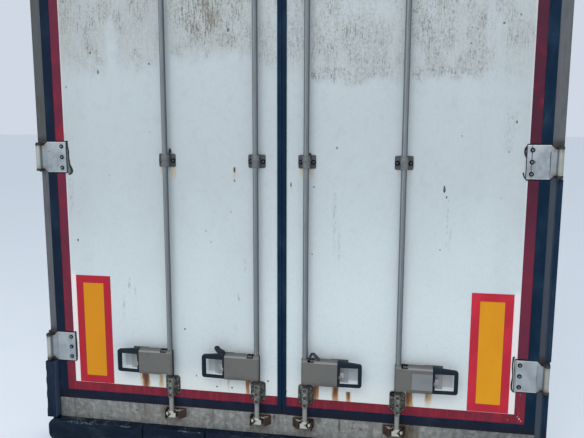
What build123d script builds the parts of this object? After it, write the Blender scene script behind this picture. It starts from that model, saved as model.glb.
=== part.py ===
from build123d import *

import os
from math import radians, tan

# Rear door end of a refrigerated trailer body: portal frame, two insulated doors and their gear.
# Millimetres. +X is the right-hand side seen from behind, +Y points forward, +Z is up.
# The origin is the middle of the sill's underside, which stands on the chassis.

# Portal frame
WIDTH = 2600.0
DOORWAY_HEIGHT = 2644.0
SILL_HEIGHT = 250.0
HEADER_HEIGHT = 116.0
FRAME_DEPTH = 110.0
POST_WIDTH = 53.0
POST_CORNER_RADIUS = 5.0
SILL_BEAM = 160.0
SILL_SKIRT = 8.0
FOOT_FLANGE = 8.0
DRIP_RAIL_OUT = 14.0
DRIP_RAIL_HEIGHT = 6.0
CHASSIS_BOLT_SPACING_X = 900.0
CHASSIS_BOLT_SPACING_Y = 50.0
CHASSIS_BOLT_RADIUS = 9.0

# Door leaves and their rubber
LEAF_THICKNESS = 85.0
LEAF_BEVEL = 12.0
EDGE_GAP = 19.0
CENTRE_GAP = 12.0
SEAL_WIDTH = 49.0
SEAL_LIP = 3.0
SEAL_DEPTH = 40.0
SEAL_RUNNING_GAP = 0.5
FIN_GAP = 3.0
INNER_FIN_FROM = 54.0
INNER_FIN_DEPTH = 12.0
CENTRE_SEAL_WIDTH = 23.0
CENTRE_SEAL_LIP = 5.0
CENTRE_SEAL_MEETING_GAP = 1.5
CENTRE_BULB_DEPTH = 12.0
CENTRE_WEB = 4.0
CENTRE_WEB_DEPTH = 60.0

# Reflective tape and marker plates
TAPE_WIDTH = 49.0
TAPE_THICKNESS = 0.6
TAPE_TRIM_GAP = 1.0
MARKER_WIDTH = 195.0
MARKER_HEIGHT = 596.0
MARKER_BORDER = 40.0
MARKER_SIDE_GAP = 29.0
MARKER_FOOT_GAP = 2.0
MARKER_THICKNESS = 1.5
MARKER_FIELD_RECESS = 0.4

# Hinges
HINGE_HEIGHTS = (297.0, 1322.0, 2347.0)
HINGE_INSET = 20.0
HINGE_OUT = 28.0
PIN_RADIUS = 7.0
PIN_CLEARANCE = 0.05
PIN_HEAD_RADIUS = 10.0
PIN_HEAD = 4.0
KNUCKLE_RADIUS = 13.0
KNUCKLE_HEIGHT = 118.0
KNUCKLE_END_GAP = 0.4
STRAP_HEIGHT = 156.0
STRAP_THICKNESS = 6.0
STRAP_REACH = 141.0
STRAP_FOOT = 58.0
STRAP_BEND = 40.0
STRAP_RISE = 8.0
STRAP_CORNER = 19.0
EAR_THICKNESS = 12.0
EAR_RADIUS = 14.0
BRACKET_PLATE = 4.0

# Locking rods
INNER_ROD_X = 125.0
OUTER_ROD_INSET = 659.0
ROD_OUT = 35.0
ROD_RADIUS = 13.5
SHANK_RADIUS = 12.0
SHANK_CLEARANCE = 0.05
THRUST_GAP = 0.3

# Cams at the rods' ends and the keepers they turn into
CAM_HEIGHT = 34.0
CAM_DROP = 9.0
CAM_BOSS_RADIUS = 12.5
CAM_FACE_WIDTH = 28.0
CAM_FACE_REACH = 13.0
CAM_WING_REACH = 26.0
CAM_WING_HEIGHT = 25.0
CAM_WING_BEVEL = 4.0
CAM_GROOVE_APEX = -2.0
CAM_GROOVE_WIDTH = 4.5
CAM_GROOVE_DEPTH = 4.0
CAM_GROOVE_HALF_ANGLE = 40.0
CAM_TOOTH_RADIUS = 27.0
CAM_TOOTH_ANGLES = (203.0, 230.0)
CAM_TOOTH_FORK = 14.0
CAM_CLAW_RADIUS = 26.0
CAM_CLAW_ANGLES = (-22.0, 14.0)
WEDGE_APEX = 14.5
WEDGE_HALF_ANGLE = 30.0
WEDGE_BACK = 6.0
WEDGE_FRONT = 6.0
NOTCH_CLEARANCE = 3.0
NOTCH_HALF_ANGLE = 42.0
KEEPER_HEIGHT = 49.0
KEEPER_DROP = 9.0
KEEPER_BASE = 6.0
KEEPER_INNER_REACH = 68.0
KEEPER_SLOPE_FROM = 62.0
KEEPER_OUTER_REACH = 43.0
KEEPER_WALL_FROM = 40.0
KEEPER_WALL = 8.0
KEEPER_LIP_TIP = 20.5
KEEPER_LIP_FACE = 8.0
KEEPER_LIP = 7.0
KEEPER_LIP_HEIGHT = 8.0
KEEPER_STOP_FROM = 30.0
KEEPER_CORNER_RADIUS = 4.0

# Rod guides and bearings
GUIDE_HEIGHT_ABOVE_FOOT = 1312.0
GUIDE_PLATE = (87.0, 66.0, 4.0)
GUIDE_CORNER_RADIUS = 8.0
GUIDE_BAND_HEIGHT = 60.0
GUIDE_BAND_RADIUS = 18.0
GUIDE_RIB_HEIGHT = 8.0
GUIDE_RIB_RADIUS = 20.0
GUIDE_RIB_RISE = 7.0
GUIDE_BORE_CLEARANCE = 0.5
BEARING_FOOT = 68.0
BEARING_HEIGHT = 105.0
BEARING_WIDTH = 78.0
BEARING_PLATE = 5.0
BEARING_CORNER_RADIUS = 14.0
BEARING_SHOULDER = 18.0
BEARING_FOOT_WIDTH = 60.0
BEARING_HOUSING_WIDTH = 32.0
BEARING_HOUSING_OUT = 51.0
BEARING_NOSE = 5.0
BEARING_NOSE_RADIUS = 12.0
BEARING_HOLE_RADIUS = 3.5
BEARING_HOLE_PITCH = 38.0

# Handles
HANDLE_FOOT = 196.0
HANDLE_HEIGHT = 130.0
HANDLE_LENGTH = 165.0
HANDLE_HUB_REACH = 17.0
HANDLE_HUB_RADIUS = 15.0
HANDLE_HUB_WIDTH = 33.0
HANDLE_HUB_DROP = 5.0
HANDLE_BACK = 15.0
HANDLE_FRONT = 26.0
HANDLE_WALL = 5.0
HANDLE_HOLLOW_FROM = 24.0
HANDLE_TOP_SLOPE = (10.0, 13.0)
HANDLE_SLOT = (15.0, 47.0, 11.0)
COVER_FROM = 63.0
COVER_FOOT = 12.0
COVER_HEIGHT = 90.0
COVER_DEPTH = 2.5
GRIP_LENGTH = 121.0
GRIP_ROOT_RISE = 3.0
GRIP_END_TOP_DROP = 12.0
GRIP_END_FOOT_RISE = 2.0
GRIP_BAR = 19.0
GRIP_FOOT_BAR = 13.0
GRIP_ROOT_BAR = 12.0
GRIP_NOTCH = (26.0, 6.0)
GRIP_CORNER_RADIUS = 14.0
GRIP_FROM = 5.0
GRIP_DEPTH = 18.0
GRIP_EDGE_RADIUS = 4.0
RETAINER_FROM = 128.0
RETAINER_WIDTH = 88.0
RETAINER_FOOT_GAP = 5.0
RETAINER_THICKNESS = 3.0
CATCH_FROM = 170.0
CATCH_FOOT = 34.0
CATCH_SIZE = (24.0, 20.0, 27.0)

# Rubber on the frame
STRIP_REBATE = 16.0
STRIP_SIDE = 35.0
STRIP_PROUD = 4.0
STRIP_CORNER_RADIUS = 8.0
STRIP_END_GAP = 3.0
BUFFER_HEIGHT = 120.0
BUFFER_OUT = 50.0
BUFFER_TOP_DROP = 113.0
BUFFER_OVERHANG = 4.0
BUFFER_SEAMS = (405.0, 752.0)
BUFFER_SEAM_GAP = 4.0
BUFFER_CORNER_RADIUS = 40.0
BUFFER_EDGE_RADIUS = 7.0

# Worked out from the sizes above
HALF_WIDTH = WIDTH / 2
SKIN_Y = -FRAME_DEPTH / 2
JAMB_X = HALF_WIDTH - POST_WIDTH
FOOT_Z = SILL_HEIGHT
MID_Z = SILL_HEIGHT + DOORWAY_HEIGHT / 2
HEAD_Z = SILL_HEIGHT + DOORWAY_HEIGHT
TOP_Z = HEAD_Z + HEADER_HEIGHT
LEAF_EDGE_X = JAMB_X - EDGE_GAP
LIP_EDGE_X = JAMB_X - SEAL_RUNNING_GAP
LIP_INNER_X = JAMB_X - SEAL_WIDTH
TAPE_INNER_X = LIP_INNER_X - TAPE_WIDTH
ROD_POSITIONS = (("inner", INNER_ROD_X), ("outer", JAMB_X - OUTER_ROD_INSET))
HINGE_X = HALF_WIDTH - HINGE_INSET
EAR_FOOT = KNUCKLE_HEIGHT / 2 + KNUCKLE_END_GAP
EAR_TOP = EAR_FOOT + EAR_THICKNESS
STRAP_EDGE_X = HINGE_X - STRAP_REACH
TUBE_FOOT_Z = FOOT_Z + BEARING_FOOT + BEARING_HEIGHT + THRUST_GAP
CAM_OUT_OF_BASE = ROD_OUT - KEEPER_BASE
CAM_MID_Z = FOOT_Z - CAM_DROP - CAM_HEIGHT / 2
HINGE_CLEAR = EAR_TOP + PIN_HEAD + STRIP_END_GAP
LOW_HINGE_Z, MID_HINGE_Z, TOP_HINGE_Z = [FOOT_Z + height for height in HINGE_HEIGHTS]

# Where rubber strips sit in the posts' outer corners: below the low hinge and up to the middle one
STRIP_SPANS = ((FOOT_Z - BUFFER_TOP_DROP + STRIP_END_GAP, LOW_HINGE_Z - HINGE_CLEAR),
               (LOW_HINGE_Z + HINGE_CLEAR, MID_HINGE_Z - HINGE_CLEAR))


def out(distance):
    """Y of a point that stands this far out from the doors' outer skin."""
    return SKIN_Y - distance


def face_plane(distance):
    """Plane parallel to the skin, this far out, with X to the right and Z up."""
    return Plane.XZ.offset(-out(distance))


def finish(builder, name):
    """Label a finished piece and write it to its own file."""
    builder.part.label = name
    export_step(builder.part, f"parts/{name}.step")


def finish_pair(builder, name):
    """Write the right-hand piece and its mirror image for the left-hand side."""
    finish(builder, f"{name}_right")
    with BuildPart() as other:
        mirror(builder.part, about=Plane.YZ)
    finish(other, f"{name}_left")


def plan(points, height):
    """Closed outline of (x, distance out) points as a sketch at one height."""
    with BuildSketch(Plane.XY.offset(height)) as outline:
        with BuildLine():
            Polyline([(x, out(distance)) for x, distance in points], close=True)
        make_face()
    return outline.sketch


def sector(radius, angles):
    """Pie slice about the origin, from the first angle to the second."""
    first, last = angles
    with BuildSketch() as slice_sketch:
        with BuildLine():
            start = PolarLine((0, 0), radius, first)
            arc = CenterArc((0, 0), radius, first, last - first)
            Line(arc @ 1, start @ 0)
        make_face()
    return slice_sketch.sketch


os.makedirs("parts", exist_ok=True)

# Posts: foam-filled steel columns, rebated in the outer corner where the rubber strips sit
with BuildPart() as post:
    with BuildSketch():
        with Locations((HALF_WIDTH - POST_WIDTH / 2, 0)):
            Rectangle(POST_WIDTH, FRAME_DEPTH)
        outer_corner = vertices().group_by(Axis.X)[-1].sort_by(Axis.Y)[0]
        fillet(outer_corner, POST_CORNER_RADIUS)
    extrude(amount=TOP_Z)
    for span_foot_z, span_top_z in STRIP_SPANS:
        with Locations((HALF_WIDTH, SKIN_Y, span_foot_z)):
            Box(STRIP_REBATE, STRIP_SIDE, span_top_z - span_foot_z,
                align=(Align.MAX, Align.MIN, Align.MIN), mode=Mode.SUBTRACT)
finish_pair(post, "post")

# Sill: a foam-filled beam on a skirt plate, with four chassis bolt holes in the foot flange
with BuildPart() as sill:
    with BuildSketch(Plane.YZ.offset(-JAMB_X)):
        with Locations((0, SILL_HEIGHT)):
            Rectangle(FRAME_DEPTH, SILL_BEAM, align=(Align.CENTER, Align.MAX))
        with Locations((SKIN_Y, 0)):
            Rectangle(SILL_SKIRT, SILL_HEIGHT, align=(Align.MIN, Align.MIN))
        Rectangle(FRAME_DEPTH, FOOT_FLANGE, align=(Align.CENTER, Align.MIN))
    extrude(amount=2 * JAMB_X)
    with Locations(Plane.XY.offset(FOOT_FLANGE)):
        with GridLocations(CHASSIS_BOLT_SPACING_X, CHASSIS_BOLT_SPACING_Y, 2, 2):
            Hole(CHASSIS_BOLT_RADIUS, depth=FOOT_FLANGE)
finish(sill, "sill")

# Header: a foam-filled beam with a drip rail along its top edge
with BuildPart() as header:
    with BuildSketch(Plane.YZ.offset(-JAMB_X)):
        with Locations((0, TOP_Z)):
            Rectangle(FRAME_DEPTH, HEADER_HEIGHT, align=(Align.CENTER, Align.MAX))
        with Locations((SKIN_Y, TOP_Z)):
            Rectangle(DRIP_RAIL_OUT, DRIP_RAIL_HEIGHT, align=(Align.MAX, Align.MAX))
    extrude(amount=2 * JAMB_X)
finish(header, "header")

# Door leaf: an insulated panel as thick as the whole door, bevelled round its inner face
with BuildPart() as leaf:
    with BuildSketch(face_plane(0)):
        with Locations((CENTRE_GAP, FOOT_Z + EDGE_GAP)):
            Rectangle(LEAF_EDGE_X - CENTRE_GAP, DOORWAY_HEIGHT - 2 * EDGE_GAP,
                      align=(Align.MIN, Align.MIN))
    extrude(amount=-LEAF_THICKNESS)
    chamfer(faces().sort_by(Axis.Y)[-1].edges(), LEAF_BEVEL)
finish_pair(leaf, "door_leaf")

# Edge seal: a flat lip on the skin and two fins round the leaf's foot, outer edge and head
with BuildPart() as edge_seal:
    with BuildSketch(face_plane(0)):
        with Locations((CENTRE_SEAL_WIDTH, FOOT_Z + SEAL_RUNNING_GAP)):
            Rectangle(LIP_EDGE_X - CENTRE_SEAL_WIDTH, DOORWAY_HEIGHT - 2 * SEAL_RUNNING_GAP,
                      align=(Align.MIN, Align.MIN))
        with Locations((CENTRE_SEAL_WIDTH, FOOT_Z + SEAL_WIDTH)):
            Rectangle(LIP_INNER_X - CENTRE_SEAL_WIDTH, DOORWAY_HEIGHT - 2 * SEAL_WIDTH,
                      align=(Align.MIN, Align.MIN), mode=Mode.SUBTRACT)
    extrude(amount=SEAL_LIP)
    for fin_from, fin_depth in ((0, SEAL_DEPTH), (INNER_FIN_FROM, INNER_FIN_DEPTH)):
        with BuildSketch(face_plane(-fin_from)):
            with Locations((CENTRE_GAP, FOOT_Z + FIN_GAP)):
                Rectangle(JAMB_X - FIN_GAP - CENTRE_GAP, DOORWAY_HEIGHT - 2 * FIN_GAP,
                          align=(Align.MIN, Align.MIN))
            with Locations((CENTRE_GAP, FOOT_Z + EDGE_GAP)):
                Rectangle(LEAF_EDGE_X - CENTRE_GAP, DOORWAY_HEIGHT - 2 * EDGE_GAP,
                          align=(Align.MIN, Align.MIN), mode=Mode.SUBTRACT)
        extrude(amount=-fin_depth)
finish_pair(edge_seal, "edge_seal")

# Centre seal: each door carries one half, a lip on the skin with a bulb towards the other door
with BuildPart() as centre_seal:
    web_x = CENTRE_GAP - CENTRE_WEB
    centre_outline = (
        (CENTRE_SEAL_MEETING_GAP, CENTRE_SEAL_LIP), (CENTRE_SEAL_WIDTH, CENTRE_SEAL_LIP),
        (CENTRE_SEAL_WIDTH, 0), (CENTRE_GAP, 0), (CENTRE_GAP, -CENTRE_WEB_DEPTH),
        (web_x, -CENTRE_WEB_DEPTH), (web_x, -CENTRE_BULB_DEPTH),
        (CENTRE_SEAL_MEETING_GAP, -CENTRE_BULB_DEPTH))
    extrude(plan(centre_outline, FOOT_Z + FIN_GAP), amount=DOORWAY_HEIGHT - 2 * FIN_GAP)
finish_pair(centre_seal, "centre_seal")

# Hinge straps on the door: a flat plate, a gentle bend and the knuckle round the pin
strap_outline = (
    (STRAP_EDGE_X, 0),
    (STRAP_EDGE_X, SEAL_LIP + STRAP_THICKNESS),
    (HINGE_X - STRAP_BEND, SEAL_LIP + STRAP_THICKNESS),
    (HINGE_X - KNUCKLE_RADIUS, SEAL_LIP + STRAP_THICKNESS + STRAP_RISE),
    (HINGE_X - KNUCKLE_RADIUS, HINGE_OUT),
    (HINGE_X, HINGE_OUT),
    (HINGE_X, HINGE_OUT - KNUCKLE_RADIUS),
    (HINGE_X - KNUCKLE_RADIUS, SEAL_LIP + STRAP_RISE),
    (HINGE_X - STRAP_BEND, SEAL_LIP),
    (STRAP_EDGE_X + STRAP_FOOT, SEAL_LIP),
    (STRAP_EDGE_X + STRAP_FOOT, 0))
with BuildPart() as hinge_straps:
    for hinge_z in (LOW_HINGE_Z, MID_HINGE_Z, TOP_HINGE_Z):
        extrude(plan(strap_outline, hinge_z - STRAP_HEIGHT / 2), amount=STRAP_HEIGHT)
        with BuildSketch(Plane.XY.offset(hinge_z - KNUCKLE_HEIGHT / 2)):
            with Locations((HINGE_X, out(HINGE_OUT))):
                Circle(KNUCKLE_RADIUS)
        extrude(amount=KNUCKLE_HEIGHT)
        for upward in (-1, 1):
            corner_z = hinge_z + upward * STRAP_HEIGHT / 2
            knuckle_z = hinge_z + upward * KNUCKLE_HEIGHT / 2
            with BuildSketch(face_plane(-KNUCKLE_RADIUS)):
                with BuildLine():
                    Polyline((HINGE_X - STRAP_BEND, corner_z),
                             (HINGE_X - STRAP_BEND + STRAP_CORNER, knuckle_z),
                             (HALF_WIDTH, knuckle_z), (HALF_WIDTH, corner_z), close=True)
                make_face()
            extrude(amount=HINGE_OUT + 3 * KNUCKLE_RADIUS, mode=Mode.SUBTRACT)
        with Locations((HINGE_X, out(HINGE_OUT), hinge_z)):
            Cylinder(PIN_RADIUS + PIN_CLEARANCE, STRAP_HEIGHT, mode=Mode.SUBTRACT)
finish_pair(hinge_straps, "hinge_straps")

# Hinge brackets on the post: a back plate with two ears that hold the pin
ear_outline = (
    (HINGE_X - EAR_RADIUS, 0), (HINGE_X - EAR_RADIUS, HINGE_OUT),
    (HINGE_X + EAR_RADIUS, HINGE_OUT), (HINGE_X + EAR_RADIUS, 0))
with BuildPart() as hinge_brackets:
    for hinge_z in (LOW_HINGE_Z, MID_HINGE_Z, TOP_HINGE_Z):
        with Locations((HINGE_X, out(0), hinge_z)):
            Box(2 * EAR_RADIUS, BRACKET_PLATE, 2 * EAR_TOP,
                align=(Align.CENTER, Align.MAX, Align.CENTER))
        for ear_z in (hinge_z - EAR_TOP, hinge_z + EAR_FOOT):
            extrude(plan(ear_outline, ear_z), amount=EAR_THICKNESS)
            with Locations((HINGE_X, out(HINGE_OUT), ear_z)):
                Cylinder(EAR_RADIUS, EAR_THICKNESS, align=(Align.CENTER, Align.CENTER, Align.MIN))
        with Locations((HINGE_X, out(HINGE_OUT), hinge_z)):
            Cylinder(PIN_RADIUS, 2 * EAR_TOP)
        with Locations((HINGE_X, out(HINGE_OUT), hinge_z + EAR_TOP)):
            Cylinder(PIN_HEAD_RADIUS, PIN_HEAD, align=(Align.CENTER, Align.CENTER, Align.MIN))
finish_pair(hinge_brackets, "hinge_brackets")

# Keepers: a base with a sloped hook on the inner side, a stop on the outer side and a wedge on the stop.
# The hook has a lip only at its top, just above the wing of the cam's face.
# Points are (distance from the rod towards the outer side, distance out from the rod's axis).
keeper_outline = (
    (-KEEPER_INNER_REACH, -ROD_OUT),
    (-KEEPER_INNER_REACH, -CAM_OUT_OF_BASE),
    (-KEEPER_SLOPE_FROM, -CAM_OUT_OF_BASE),
    (-KEEPER_WALL_FROM, -KEEPER_LIP_FACE + KEEPER_LIP),
    (-KEEPER_LIP_TIP, -KEEPER_LIP_FACE + KEEPER_LIP),
    (-KEEPER_LIP_TIP, -KEEPER_LIP_FACE),
    (-KEEPER_WALL_FROM + KEEPER_WALL, -KEEPER_LIP_FACE),
    (-KEEPER_WALL_FROM + KEEPER_WALL, -CAM_OUT_OF_BASE),
    (KEEPER_STOP_FROM, -CAM_OUT_OF_BASE),
    (KEEPER_STOP_FROM, WEDGE_FRONT),
    (KEEPER_STOP_FROM + KEEPER_WALL, WEDGE_FRONT),
    (KEEPER_STOP_FROM + KEEPER_WALL, -CAM_OUT_OF_BASE),
    (KEEPER_OUTER_REACH, -CAM_OUT_OF_BASE),
    (KEEPER_OUTER_REACH, -ROD_OUT))


def arrow(apex_x, back_x, half_angle, distance):
    """Triangle level with the low cams, this far out from the skin, pointing towards -X."""
    half_height = (back_x - apex_x) * tan(radians(half_angle))
    with BuildSketch(face_plane(distance)) as arrow_sketch:
        with BuildLine():
            Polyline((apex_x, CAM_MID_Z), (back_x, CAM_MID_Z - half_height),
                     (back_x, CAM_MID_Z + half_height), close=True)
        make_face()
    return arrow_sketch.sketch


with BuildPart() as low_keepers:
    for _, rod_x in ROD_POSITIONS:
        keeper_points = [(rod_x + along, ROD_OUT + away) for along, away in keeper_outline]
        extrude(plan(keeper_points, FOOT_Z - KEEPER_DROP - KEEPER_HEIGHT), amount=KEEPER_HEIGHT)
        wedge = arrow(rod_x + WEDGE_APEX, rod_x + KEEPER_STOP_FROM, WEDGE_HALF_ANGLE, ROD_OUT - WEDGE_BACK)
        extrude(wedge, amount=WEDGE_BACK + WEDGE_FRONT)
        with Locations((rod_x - KEEPER_WALL_FROM + KEEPER_WALL, out(KEEPER_BASE),
                        FOOT_Z - KEEPER_DROP - KEEPER_HEIGHT)):
            Box(KEEPER_WALL_FROM - KEEPER_WALL - KEEPER_LIP_TIP, 2 * ROD_OUT,
                KEEPER_HEIGHT - KEEPER_LIP_HEIGHT,
                align=(Align.MIN, Align.MAX, Align.MIN), mode=Mode.SUBTRACT)
    base_edges = edges().filter_by(Axis.Y).filter_by(lambda edge: edge.center().Y > out(KEEPER_BASE))
    fillet(base_edges, KEEPER_CORNER_RADIUS)
    mirror(about=Plane.YZ)
finish(low_keepers, "keepers_low")
with BuildPart() as top_keepers:
    mirror(low_keepers.part, about=Plane.XY.offset(MID_Z))
finish(top_keepers, "keepers_top")

# Locking rods: a tube with a shank and a cam at each end, one node each. The cam has a flat face with
# a wing below the keeper's lip, a forked tooth that turns in behind the lip and a claw notched for
# the keeper's wedge.
for rod_name, rod_x in ROD_POSITIONS:
    cam_plane = Plane((rod_x, out(ROD_OUT), FOOT_Z - CAM_DROP), x_dir=(1, 0, 0), z_dir=(0, 0, -1))
    with BuildPart() as lock_rod:
        for angles, radius in ((CAM_TOOTH_ANGLES, CAM_TOOTH_RADIUS), (CAM_CLAW_ANGLES, CAM_CLAW_RADIUS)):
            extrude(cam_plane * sector(radius, angles), amount=CAM_HEIGHT)
        with Locations((rod_x, out(ROD_OUT), CAM_MID_Z)):
            Box(2 * CAM_TOOTH_RADIUS, CAM_TOOTH_RADIUS, CAM_TOOTH_FORK,
                align=(Align.MAX, Align.MIN, Align.CENTER), mode=Mode.SUBTRACT)
            Box(CAM_FACE_WIDTH, CAM_FACE_REACH, CAM_HEIGHT, align=(Align.CENTER, Align.MAX, Align.CENTER))
            Cylinder(CAM_BOSS_RADIUS, CAM_HEIGHT)
        wing = ((rod_x, ROD_OUT), (rod_x, ROD_OUT + CAM_FACE_REACH),
                (rod_x - CAM_WING_REACH + CAM_WING_BEVEL, ROD_OUT + CAM_FACE_REACH),
                (rod_x - CAM_WING_REACH, ROD_OUT + CAM_FACE_REACH - CAM_WING_BEVEL),
                (rod_x - CAM_WING_REACH, ROD_OUT))
        extrude(plan(wing, FOOT_Z - CAM_DROP - CAM_HEIGHT), amount=CAM_WING_HEIGHT)
        groove_x = rod_x + CAM_GROOVE_APEX
        groove_arrows = [arrow(apex_x, rod_x + CAM_FACE_WIDTH / 2, CAM_GROOVE_HALF_ANGLE,
                               ROD_OUT + CAM_FACE_REACH - CAM_GROOVE_DEPTH)
                         for apex_x in (groove_x, groove_x + CAM_GROOVE_WIDTH)]
        extrude(groove_arrows[0] - groove_arrows[1], amount=2 * CAM_GROOVE_DEPTH, mode=Mode.SUBTRACT)
        notch = arrow(rod_x + WEDGE_APEX - NOTCH_CLEARANCE, rod_x + KEEPER_STOP_FROM, NOTCH_HALF_ANGLE, 0)
        extrude(notch, amount=2 * ROD_OUT, mode=Mode.SUBTRACT)
        for radius, foot_z, top_z in (
                (SHANK_RADIUS, FOOT_Z - CAM_DROP, TUBE_FOOT_Z), (ROD_RADIUS, TUBE_FOOT_Z, MID_Z)):
            with Locations((rod_x, out(ROD_OUT), foot_z)):
                Cylinder(radius, top_z - foot_z, align=(Align.CENTER, Align.CENTER, Align.MIN))
        mirror(about=Plane.XY.offset(MID_Z))
    finish_pair(lock_rod, f"lock_rod_{rod_name}")

# Rod guides half way up: a base plate with a ribbed band round the rod
with BuildPart() as rod_guides:
    plate_width, plate_height, plate_thickness = GUIDE_PLATE
    guide_z = FOOT_Z + GUIDE_HEIGHT_ABOVE_FOOT
    for _, rod_x in ROD_POSITIONS:
        with BuildSketch(face_plane(0)):
            with Locations((rod_x, guide_z)):
                RectangleRounded(plate_width, plate_height, GUIDE_CORNER_RADIUS)
        extrude(amount=plate_thickness)
        for band_radius, band_height, band_z in (
                (GUIDE_BAND_RADIUS, GUIDE_BAND_HEIGHT, guide_z),
                (GUIDE_RIB_RADIUS, GUIDE_RIB_HEIGHT, guide_z + GUIDE_RIB_RISE)):
            with Locations((rod_x, out(0), band_z)):
                Box(2 * band_radius, ROD_OUT, band_height, align=(Align.CENTER, Align.MAX, Align.CENTER))
            with Locations((rod_x, out(ROD_OUT), band_z)):
                Cylinder(band_radius, band_height)
        with Locations((rod_x, out(ROD_OUT), guide_z)):
            Cylinder(ROD_RADIUS + GUIDE_BORE_CLEARANCE, plate_height, mode=Mode.SUBTRACT)
finish_pair(rod_guides, "rod_guides")

# Rod bearings at the foot and head: a plate with tapered shoulders and a round-nosed housing
# with three grease holes


def bearing_plate(rod_x):
    """Outline of a low bearing's plate in the plane of the doors."""
    foot_z = FOOT_Z + BEARING_FOOT
    with BuildSketch(face_plane(0)) as plate_sketch:
        with BuildLine():
            Polyline((rod_x - BEARING_WIDTH / 2, foot_z + BEARING_SHOULDER),
                     (rod_x - BEARING_FOOT_WIDTH / 2, foot_z),
                     (rod_x + BEARING_FOOT_WIDTH / 2, foot_z),
                     (rod_x + BEARING_WIDTH / 2, foot_z + BEARING_SHOULDER),
                     (rod_x + BEARING_WIDTH / 2, foot_z + BEARING_HEIGHT),
                     (rod_x - BEARING_WIDTH / 2, foot_z + BEARING_HEIGHT), close=True)
        make_face()
        fillet(vertices().group_by(Axis.Z)[-1], BEARING_CORNER_RADIUS)
    return plate_sketch.sketch


with BuildPart() as low_bearings:
    half_width = BEARING_HOUSING_WIDTH / 2
    housing_foot_z = FOOT_Z + BEARING_FOOT - BEARING_NOSE
    for _, rod_x in ROD_POSITIONS:
        with BuildSketch(Plane.XY.offset(housing_foot_z)):
            with Locations((rod_x, out(BEARING_PLATE))):
                Rectangle(BEARING_HOUSING_WIDTH, BEARING_HOUSING_OUT - half_width - BEARING_PLATE,
                          align=(Align.CENTER, Align.MAX))
            with Locations((rod_x, out(BEARING_HOUSING_OUT - half_width))):
                Circle(half_width)
        extrude(amount=BEARING_HEIGHT + BEARING_NOSE)
    with BuildSketch(face_plane(0)):
        for _, rod_x in ROD_POSITIONS:
            with Locations((rod_x, housing_foot_z)):
                Rectangle(BEARING_HOUSING_WIDTH, BEARING_HEIGHT + BEARING_NOSE,
                          align=(Align.CENTER, Align.MIN))
        fillet(vertices().group_by(Axis.Z)[0], BEARING_NOSE_RADIUS)
    extrude(amount=BEARING_HOUSING_OUT, mode=Mode.INTERSECT)
    for _, rod_x in ROD_POSITIONS:
        extrude(bearing_plate(rod_x), amount=BEARING_PLATE)
        with Locations((rod_x, out(ROD_OUT), FOOT_Z + BEARING_FOOT)):
            Cylinder(SHANK_RADIUS + SHANK_CLEARANCE, 2 * BEARING_HEIGHT, mode=Mode.SUBTRACT)
        with BuildSketch(face_plane(ROD_OUT)):
            with Locations((rod_x, FOOT_Z + BEARING_FOOT + BEARING_HEIGHT / 2)):
                with GridLocations(0, BEARING_HOLE_PITCH, 1, 3):
                    Circle(BEARING_HOLE_RADIUS)
        extrude(amount=ROD_OUT, mode=Mode.SUBTRACT)
finish_pair(low_bearings, "low_bearings")
with BuildPart() as top_bearings:
    mirror(low_bearings.part, about=Plane.XY.offset(MID_Z))
finish_pair(top_bearings, "top_bearings")

# Handles: a hollow-backed body clamped on the rod. The left ones mirror the right ones, but
# only the right outer handle has lost its cover plate and shows the recess under it.
handle_z = FOOT_Z + HANDLE_FOOT
slope_out, slope_down = HANDLE_TOP_SLOPE
slot_from, slot_to, slot_depth = HANDLE_SLOT


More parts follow.
